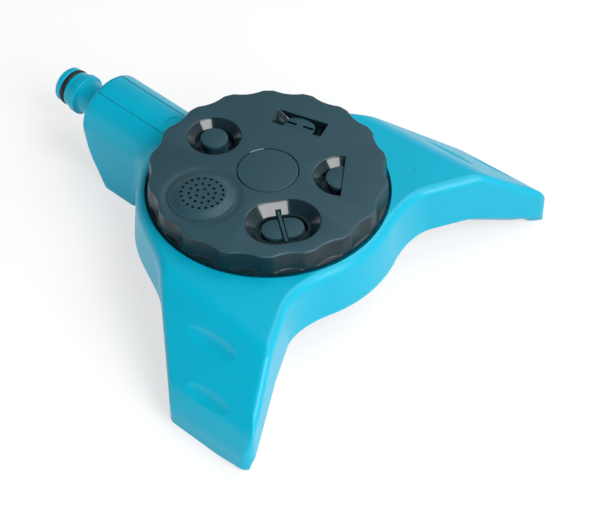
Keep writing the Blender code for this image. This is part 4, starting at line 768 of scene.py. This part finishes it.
def flute(angle):
    # Depth of the scalloped grip at an angle, 0 on the ridges
    d = dialSize
    pitch = 2 * math.pi / d["flutes"]
    offset = (angle - d["flutePhase"] + pitch / 2) % pitch - pitch / 2
    half = d["fluteShare"] * pitch / 2
    return d["fluteDepth"] * max(0.0, 1 - (offset / half) ** 2)


def dialSkin():
    d = dialSize
    sides = d["flutes"] * d["fluteSteps"]
    angles = [d["flutePhase"] + 2 * math.pi * i / sides for i in range(sides)]
    grow = (d["footRadius"] - d["radius"]) / (d["topZ"] - d["footZ"])
    bm = bmesh.new()

    def loop(z, share, inset=0.0):
        radius = d["radius"] + (d["topZ"] - z) * grow - inset
        rings = [radius - share * flute(a) for a in angles]
        return [bm.verts.new((r * math.cos(a), r * math.sin(a), z)) for r, a in zip(rings, angles)]

    def plain(radius, z):
        return [bm.verts.new((radius * math.cos(a), radius * math.sin(a), z)) for a in angles]

    under, edge = d["topZ"] - d["plate"], d["topEdge"]
    loops = [[bm.verts.new((0, 0, d["topZ"]))]]
    for turn in np.linspace(0, math.pi / 2, 6):
        loops.append(loop(d["topZ"] - edge * (1 - math.cos(turn)), 1, edge * (1 - math.sin(turn))))
    for height, share in d["runOut"]:
        loops.append(loop(d["ledgeZ"] + height, share))
    loops += [loop(d["footZ"] + d["footEdge"], 0), loop(d["footZ"], 0, d["footEdge"]),
              plain(d["skirtInner"], d["footZ"]), plain(d["skirtInner"], under),
              [bm.verts.new((0, 0, under))]]
    closeLoops(bm, loops)
    # The faces of the fluted side take the darker finish, painted shade
    sideRadius, sideTopZ = d["skirtInner"] + weld, d["topZ"] - edge + weld
    for face in bm.faces:
        outside = all(v.co.xy.length > sideRadius and v.co.z < sideTopZ for v in face.verts)
        face.material_index = shadedSideFinish if outside else topFinish
    return bm


def obround(straight, radius, steps=48):
    # A slot outline, long along Y
    far = arc(radius, 0, math.pi, steps, (0, straight))
    return far + arc(radius, math.pi, 2 * math.pi, steps, (0, -straight))


def halfDisc(edge, radius, steps=48):
    # The part of a disc on the inner side of a straight edge
    half = math.acos(edge / radius)
    return arc(radius, half, 2 * math.pi - half, steps)


def recess(outlineAt, top, foot, bore, depth):
    # A cutter: rounded rim, sloping wall, and a straight bore down through the boss,
    # with a ledge round it where the bore is narrower than the wall's foot
    d = dialSize
    rim = d["rim"]
    floorZ, wayOut = d["topZ"] - depth, outlineAt(bore)
    layers = [(wayOut, d["bossFootZ"] - sink), (wayOut, floorZ), (outlineAt(foot), floorZ)]
    for turn in np.linspace(0, math.pi / 2, 5):
        size = top + rim * (1 - math.cos(turn)) - rim / 2
        layers.append((outlineAt(size), d["topZ"] - rim * (1 - math.sin(turn))))
    return layers + [(outlineAt(top + rim / 2), d["topZ"] + sink)]


# The five nozzles, each seen from its middle with X outward
halfSize = dict(edge=0.6, top=11.4, foot=8.4, coreEdge=0.3, core=6.4)
circleSize = dict(straight=0.01, top=11.0, foot=8.0, core=5.6)
twinSize = dict(straight=3.2, top=11.8, foot=7.7, bore=6.9, core=5.3, depth=4.0, drop=3.5,
                width=1.3, rise=0.15, edge=0.2,    # these three of the bar across it
                notchDrop=2.4, notchReach=10.4, groove=0.5, grooveDepth=1.0)
squareSize = dict(outer=5.1, inner=-3.3, halfLength=11.2, depth=4.0, bore=7.5,
                  footOuter=5.9, footHip=(3.2, 7.6), footInner=8.4, hip=(-1.6, 11.5), lowEnd=9.7,
                  islandShift=-0.5, islandHalf=6.3, islandNose=4.6, shoulder=0.9,
                  dashLength=4.6, dashWidth=1.2, dashGap=2.8)
roseSize = dict(foot=14.2, dish=17.2, dishDepth=0.35, dishSteps=8, rise=1.6, flat=8.8, thickness=1.6,
                chamber=10.2, hole=0.62, rings=((20, 8.4), (12, 5.25), (5, 2.5)))    # each: holes, radius
screwSize = dict(pitch=38.0, boss=3.2, shank=1.3, grip=4.5, plateTopZ=38.5)


def squareRecess(bm, matrix):
    # Straight outer wall, upright end, and at the other end three facets that meet in a hip
    q, d = squareSize, dialSize
    t, inner, outer = q["halfLength"], q["inner"], q["outer"]
    foot = [(inner, -t), (outer, -t), (outer, q["footOuter"]), q["footHip"],
            (q["hip"][0] + sink, q["footInner"]), (inner, q["footInner"] - sink)]
    top = [(inner, -t), (outer, -t), (outer, t), (outer - gap, t), q["hip"], (inner, q["lowEnd"])]
    stacked(bm, [(foot, d["topZ"] - q["depth"]), (top, d["topZ"]), (top, d["topZ"] + sink)], matrix)


def swell(share):
    # 0 to 1 with a level start and end
    return 0.5 - 0.5 * math.cos(math.pi * share)


def screwFrame(index):
    return around(screwSize["pitch"], 2 * math.pi * index / dialSize["nozzles"])


def dialBosses(inside):
    d, screw, hub = dialSize, screwSize, hubSize
    bm = bmesh.new()
    for k in range(d["nozzles"]):
        cylinder(bm, d["boss"], d["bossFootZ"], inside, matrix=nozzleFrame(k))
        cylinder(bm, screw["boss"], screw["plateTopZ"] + gap, inside, 32, screwFrame(k))
    cylinder(bm, hub["well"] + hub["wellWall"], hub["floorZ"] - hub["floor"], inside)
    return bm


def roseDish():
    # The shallow dish round the rose
    d, r = dialSize, roseSize
    low, high, inner = d["topZ"] - r["dishDepth"], d["topZ"] + sink, r["foot"] - sink / 2
    steps = r["dishSteps"]
    slope = [(r["foot"] + (r["dish"] - r["foot"]) * k / steps, low + r["dishDepth"] * swell(k / steps))
             for k in range(steps + 1)]
    bm = bmesh.new()
    rim = [(inner, low)] + slope + [(r["dish"], high), (inner, high)]
    turned(bm, rim, 128, nozzleFrame(roseNozzle), ring=True)
    return bm


def roseDome(inside):
    d, r = dialSize, roseSize
    dome = []
    for share in np.linspace(0, 1, 17):
        radius = r["foot"] + (r["flat"] - r["foot"]) * share
        dome.append((radius, d["topZ"] - r["dishDepth"] + (r["rise"] + r["dishDepth"]) * swell(share)))
    bm = bmesh.new()
    profile = [(0, inside), (r["foot"], inside)] + dome + [(0, d["topZ"] + r["rise"])]
    turned(bm, profile, 128, nozzleFrame(roseNozzle))
    return bm


def dialCuts(chamberTop):
    # The other recesses, the rose's chamber, the well of the cap and the screws' pilot holes
    d, r, hub, screw = dialSize, roseSize, hubSize, screwSize
    h, o, b, q = halfSize, circleSize, twinSize, squareSize
    bm = bmesh.new()
    half = recess(lambda size: halfDisc(h["edge"], size), h["top"], h["foot"], h["foot"], d["recess"])
    stacked(bm, half, nozzleFrame(halfNozzle))
    low = d["bossFootZ"] - sink
    cylinder(bm, q["bore"], low, d["topZ"] - q["depth"] + gap, 64, nozzleFrame(squareNozzle))
    circle = recess(lambda size: obround(o["straight"], size), o["top"], o["foot"], o["foot"], d["recess"])
    stacked(bm, circle, nozzleFrame(circleNozzle))
    chamber = [(0, low), (r["chamber"], low), (r["chamber"], chamberTop - r["thickness"]),
               (r["flat"], chamberTop), (0, chamberTop)]
    turned(bm, chamber, 64, nozzleFrame(roseNozzle))
    twin = recess(lambda size: obround(b["straight"], size), b["top"], b["foot"], b["bore"], b["depth"])
    stacked(bm, twin, nozzleFrame(twinNozzle))
    hubFoot, pivot, edge = hub["floorZ"] - hub["floor"] - sink, hub["pivotBoss"] + gap, hub["wellEdge"]
    turned(bm, [(0, hubFoot), (pivot, hubFoot), (pivot, hub["floorZ"]), (hub["well"], hub["floorZ"]),
                (hub["well"], d["topZ"] - edge), (hub["well"] + edge, d["topZ"]),
                (hub["well"] + edge, d["topZ"] + sink), (0, d["topZ"] + sink)], 128)
    screwTopZ = screw["plateTopZ"] + screw["grip"]
    for k in range(d["nozzles"]):
        cylinder(bm, screw["shank"] + gap, screw["plateTopZ"], screwTopZ, 24, screwFrame(k))
    return bm


def dialHoles(chamberTop):
    # The rose's holes, and the notch at the inner end of the twin nozzle's bar
    d, r, b = dialSize, roseSize, twinSize
    bm = bmesh.new()
    for count, ringRadius in r["rings"]:
        for i in range(count):
            cylinder(bm, r["hole"], chamberTop - r["thickness"], d["topZ"] + sink + r["rise"], 14,
                     nozzleFrame(roseNozzle) @ around(ringRadius, 2 * math.pi * i / count))
    half = b["width"] / 2 + b["groove"]
    near = (-b["notchReach"], -half, d["topZ"] - b["depth"])
    far = (gap - b["bore"], half, d["topZ"] - b["notchDrop"])
    box(bm, near, far, nozzleFrame(twinNozzle))
    return bm


def makeDial():
    d = dialSize
    # Its second and third finishes are darker: painted shade in the cuts and on the fluted side
    dial = rawObject("dial", dialSkin(), dialPlastic, recessShadePlastic, sideShadePlastic)
    inside = d["topZ"] - d["plate"] / 2
    combine(dial, "UNION", dialBosses(inside))
    combine(dial, "DIFFERENCE", roseDish())
    square = bmesh.new()
    squareRecess(square, nozzleFrame(squareNozzle))
    combine(dial, "DIFFERENCE", square, shadedCutFinish)
    combine(dial, "UNION", roseDome(inside))
    chamberTop = d["topZ"] + roseSize["rise"] - roseSize["thickness"]
    combine(dial, "DIFFERENCE", dialCuts(chamberTop), shadedCutFinish)
    combine(dial, "DIFFERENCE", dialHoles(chamberTop), shadedCutFinish)
    finished(dial, "dial", "dial_plastic", "selector_disc")


coreSize = dict(drop=0.8, height=1.6, stemInset=1.2, flangeFootZ=38.8, flange=1.3, flangeRadius=9.7,
                edge=0.15, waterRadius=1.0, waterPitch=6.6, waterHoles=4)


def makeCore(name, node, index, outlineAt, drop, *cuts, bar=None):
    # A nozzle insert: round flange, stem and button; outlineAt gives its outline, made smaller by an inset.
    # The cuts add cutters in the insert's own frame, and bar gives a shape that is joined to it
    c, place = coreSize, nozzleFrame(index)
    topZ, flangeTopZ = dialSize["topZ"] - drop, c["flangeFootZ"] + c["flange"]
    neckZ, stemOutline = topZ - c["height"], outlineAt(c["stemInset"])
    flange = bmesh.new()
    cylinder(flange, c["flangeRadius"], c["flangeFootZ"], flangeTopZ, 64, place)
    core = rawObject(name, flange, dialPlastic, recessShadePlastic)
    layers = [(stemOutline, flangeTopZ - c["flange"] / 2), (stemOutline, neckZ), (outlineAt(0), neckZ)]
    for turn in np.linspace(0, math.pi / 2, 4):
        inset = c["edge"] * (1 - math.cos(turn))
        layers.append((outlineAt(inset), topZ - c["edge"] * (1 - math.sin(turn))))
    stem = bmesh.new()
    stacked(stem, layers, place)
    combine(core, "UNION", stem)
    holes = bmesh.new()
    for cut in cuts:
        cut(holes, place)
    # The cut faces take the darker finish, painted shade
    combine(core, "DIFFERENCE", holes, shadedCutFinish)
    if bar:
        combine(core, "UNION", bar())
    finished(core, "dial", "dial_plastic", node)


def cutWater(bm, place):
    # The holes in the flange that feed the slot round the button
    c = coreSize
    pitch = 2 * math.pi / c["waterHoles"]
    for i in range(c["waterHoles"]):
        cylinder(bm, c["waterRadius"], c["flangeFootZ"] - sink, c["flangeFootZ"] + c["flange"] + sink, 24,
                 place @ around(c["waterPitch"], pitch / 2 + pitch * i))


def crossRib():
    # The bar across the twin nozzle, which stands in a groove and ends in a notch of the recess
    b, d = twinSize, dialSize
    rib = bmesh.new()
    topZ = d["topZ"] - b["drop"] + b["rise"]
    half = b["width"] / 2
    outline = softened([(-half, 0), (-half, topZ), (half, topZ), (half, 0)], b["edge"], steps=3)
    outline = [(y, max(z, d["topZ"] - b["depth"] + gap / 2)) for y, z in outline]
    ends = (gap - b["notchReach"], b["foot"] - gap)
    loops = [addLoop(rib, [(x, y, z) for y, z in outline], nozzleFrame(twinNozzle)) for x in ends]
    closeLoops(rib, loops, ends=True)
    return rib


def cutGroove(bm, place):
    b = twinSize
    half = b["width"] / 2 + b["groove"]
    topZ = dialSize["topZ"] - b["drop"]
    box(bm, (-b["foot"], -half, topZ - b["grooveDepth"]), (b["foot"], half, topZ + sink), place)


def islandOutline(inset, steps=32):
    q = squareSize
    shift, half, nose = q["islandShift"], q["islandHalf"] - inset, q["islandNose"] - q["shoulder"] - inset
    curve = [(q["shoulder"] + nose * math.cos(a), shift + half * math.sin(a))
             for a in np.linspace(-math.pi / 2, math.pi / 2, steps + 1)]
    inner = q["inner"] + gap + inset
    return [(inner, shift - half)] + curve + [(inner, shift + half)]


def cutDashes(bm, place):
    q, half = squareSize, squareSize["dashLength"] / 2
    low, high = coreSize["flangeFootZ"] - sink, dialSize["topZ"] + sink
    for side in (1, -1):
        middle = q["islandShift"] + side * (q["dashGap"] + q["dashLength"]) / 2
        box(bm, (q["shoulder"] - q["dashWidth"], middle - half, low), (q["shoulder"], middle + half, high),
            place)


def makeCores():
    h, o, b, drop = halfSize, circleSize, twinSize, coreSize["drop"]
    makeCore("half_insert", "half_circle_core", halfNozzle,
             lambda inset: halfDisc(h["coreEdge"] - inset, h["core"] - inset), drop, cutWater)
    makeCore("circle_insert", "full_circle_core", circleNozzle,
             lambda inset: obround(o["straight"], o["core"] - inset), drop, cutWater)
    makeCore("twin_insert", "twin_arc_core", twinNozzle,
             lambda inset: obround(b["straight"], b["core"] - inset), b["drop"], cutWater, cutGroove,
             bar=crossRib)
    makeCore("square_insert", "square_core", squareNozzle, islandOutline, drop, cutDashes)


capSize = dict(radius=12.2, thickness=1.2, wall=1.0, edge=0.25)


def makeCap():
    c, d = capSize, dialSize
    foot = hubSize["floorZ"] + gap
    inner, under = c["radius"] - c["wall"], d["topZ"] - c["thickness"]
    profile = [(0, d["topZ"]), (c["radius"], d["topZ"]), (c["radius"], foot),
               (inner, foot), (inner, under), (0, under)]
    bm = bmesh.new()
    turned(bm, softened(profile, c["edge"]), 128)
    finished(rawObject("cap", bm, dialPlastic), "dial", "dial_plastic", "centre_cap")


print("stand")
makeStand()
print("inlet")
makeManifold()
makeSealRing()
print("dial")
makeDial()
makeCores()
makeCap()

finishes = {"body_plastic": bodyPlastic, "dial_plastic": dialPlastic, "seal_rubber": sealRubber,
            "screw_steel": screwSteel, "pale_plastic": paleAcetal}
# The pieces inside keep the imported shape
for entry in frame["record"]["subparts"]:
    node = frame["nodes"][entry["node"]]
    node.data.materials.clear()
    node.data.materials.append(finishes[entry["material_slot"]])

print("studio")
# Distances in metres; an azimuth is counted from -Y towards +X
camera = dict(azimuth=42.2, elevation=46.07, distance=0.8445, aim=(axisX + 0.0415, -0.0267, 0.047),
              lens=132.0, sensor=36)
lampAim = (axisX, 0, 0.03)
lamps = dict(
    key=dict(azimuth=84, elevation=40, distance=1.0, size=(0.63, 0.78), power=10.9),
    back=dict(azimuth=170, elevation=58, distance=1.1, size=(0.7, 0.7), power=4.5),
    front=dict(azimuth=-15, elevation=9, distance=1.2, size=(1.4, 0.4), power=5.0, mirrored=False))
floorLook = dict(size=8.0, tone=(0.70, 0.71, 0.72, 1), speck=(0.74, 0.745, 0.75, 1), speckShare=0.15,
                 speckScale=40, roughness=0.8, shine=0.1, glow=0.67)
surroundings = dict(horizon=white, ceiling=(0.07, 0.07, 0.08, 1), ceilingFade=(0.08, 0.30),
                    backWall=(0.45, 0.46, 0.48, 1), backWay=(0.3, 0.9, 0.3), backFade=(0.35, 0.95))


def lookAt(thing, azimuth, elevation, distance, target):
    # Adds a camera or a lamp to the scene, at a distance from its target and looking at it
    turn, rise = math.radians(azimuth), math.radians(elevation)
    way = Vector((math.sin(turn) * math.cos(rise), -math.cos(turn) * math.cos(rise), math.sin(rise)))
    thing.location = Vector(target) + way * distance
    thing.rotation_euler = (-way).to_track_quat("-Z", "Y").to_euler()
    bpy.context.scene.collection.objects.link(thing)


def makeCamera():
    c = camera
    data = bpy.data.cameras.new("camera")
    data.lens = c["lens"]
    data.sensor_width = c["sensor"]
    thing = bpy.data.objects.new("camera", data)
    lookAt(thing, c["azimuth"], c["elevation"], c["distance"], c["aim"])
    bpy.context.scene.camera = thing


def makeLamp(name, azimuth, elevation, distance, size, power, mirrored=True):
    # A soft box that looks at the dial
    data = bpy.data.lights.new(name, "AREA")
    data.shape = "RECTANGLE"
    data.size, data.size_y = size
    data.energy = power
    lamp = bpy.data.objects.new(name, data)
    lamp.visible_glossy = mirrored
    lookAt(lamp, azimuth, elevation, distance, lampAim)


def makeFloor():
    # Pale paper that lights the piece from below; to the camera, in reflections and through glass
    # it is white and glows in part, and so it keeps the shadow
    c = floorLook
    half = c["size"] / 2
    bm = bmesh.new()
    corners = ((-half, -half), (half, -half), (half, half), (-half, half))
    bm.faces.new([bm.verts.new((x, y, 0)) for x, y in corners])
    floor = rawObject("floor", bm)
    shader = newShader("pale_floor")
    seen = shader.rays(0) + shader.rays(3) + shader.rays(6)
    paper = shader.blend(shader.noise(c["speckScale"]) * c["speckShare"], c["tone"], c["speck"])
    shader.put(Base_Color=shader.blend(seen, paper, white), Roughness=c["roughness"])
    shader.put(Specular_IOR_Level=c["shine"])
    glow = shader.add("ShaderNodeEmission", inputs={"Color": white, "Strength": 1.0})
    plain = Wire(shader, shader.surface.outputs[0])
    mixed = shader.add("ShaderNodeMixShader", inputs={0: seen * c["glow"], 1: plain, 2: glow})
    shader.feed(shader.nodes["Material Output"].inputs["Surface"], mixed)
    floor.data.materials.append(shader.owner)


def makeWorld():
    # White at the horizon, a dark ceiling, and a paler wall behind on the right
    c = surroundings
    shader = Shader(bpy.data.worlds.new("studio"))
    bpy.context.scene.world = shader.owner
    way = shader.place(output=0)
    height = shader.add("ShaderNodeSeparateXYZ", inputs={0: way}, output=2)
    behind = shader.ramp(shader.along(way, c["backWay"]), *c["backFade"])
    high = shader.ramp(height, *c["ceilingFade"])
    sky = shader.blend(high, c["horizon"], shader.blend(behind, c["ceiling"], c["backWall"]))
    shader.put(Color=sky, Strength=1.0)


makeCamera()
for lampName, lampValues in lamps.items():
    makeLamp(lampName, **lampValues)
makeFloor()
makeWorld()
bpy.context.scene.view_settings.view_transform = "Standard"
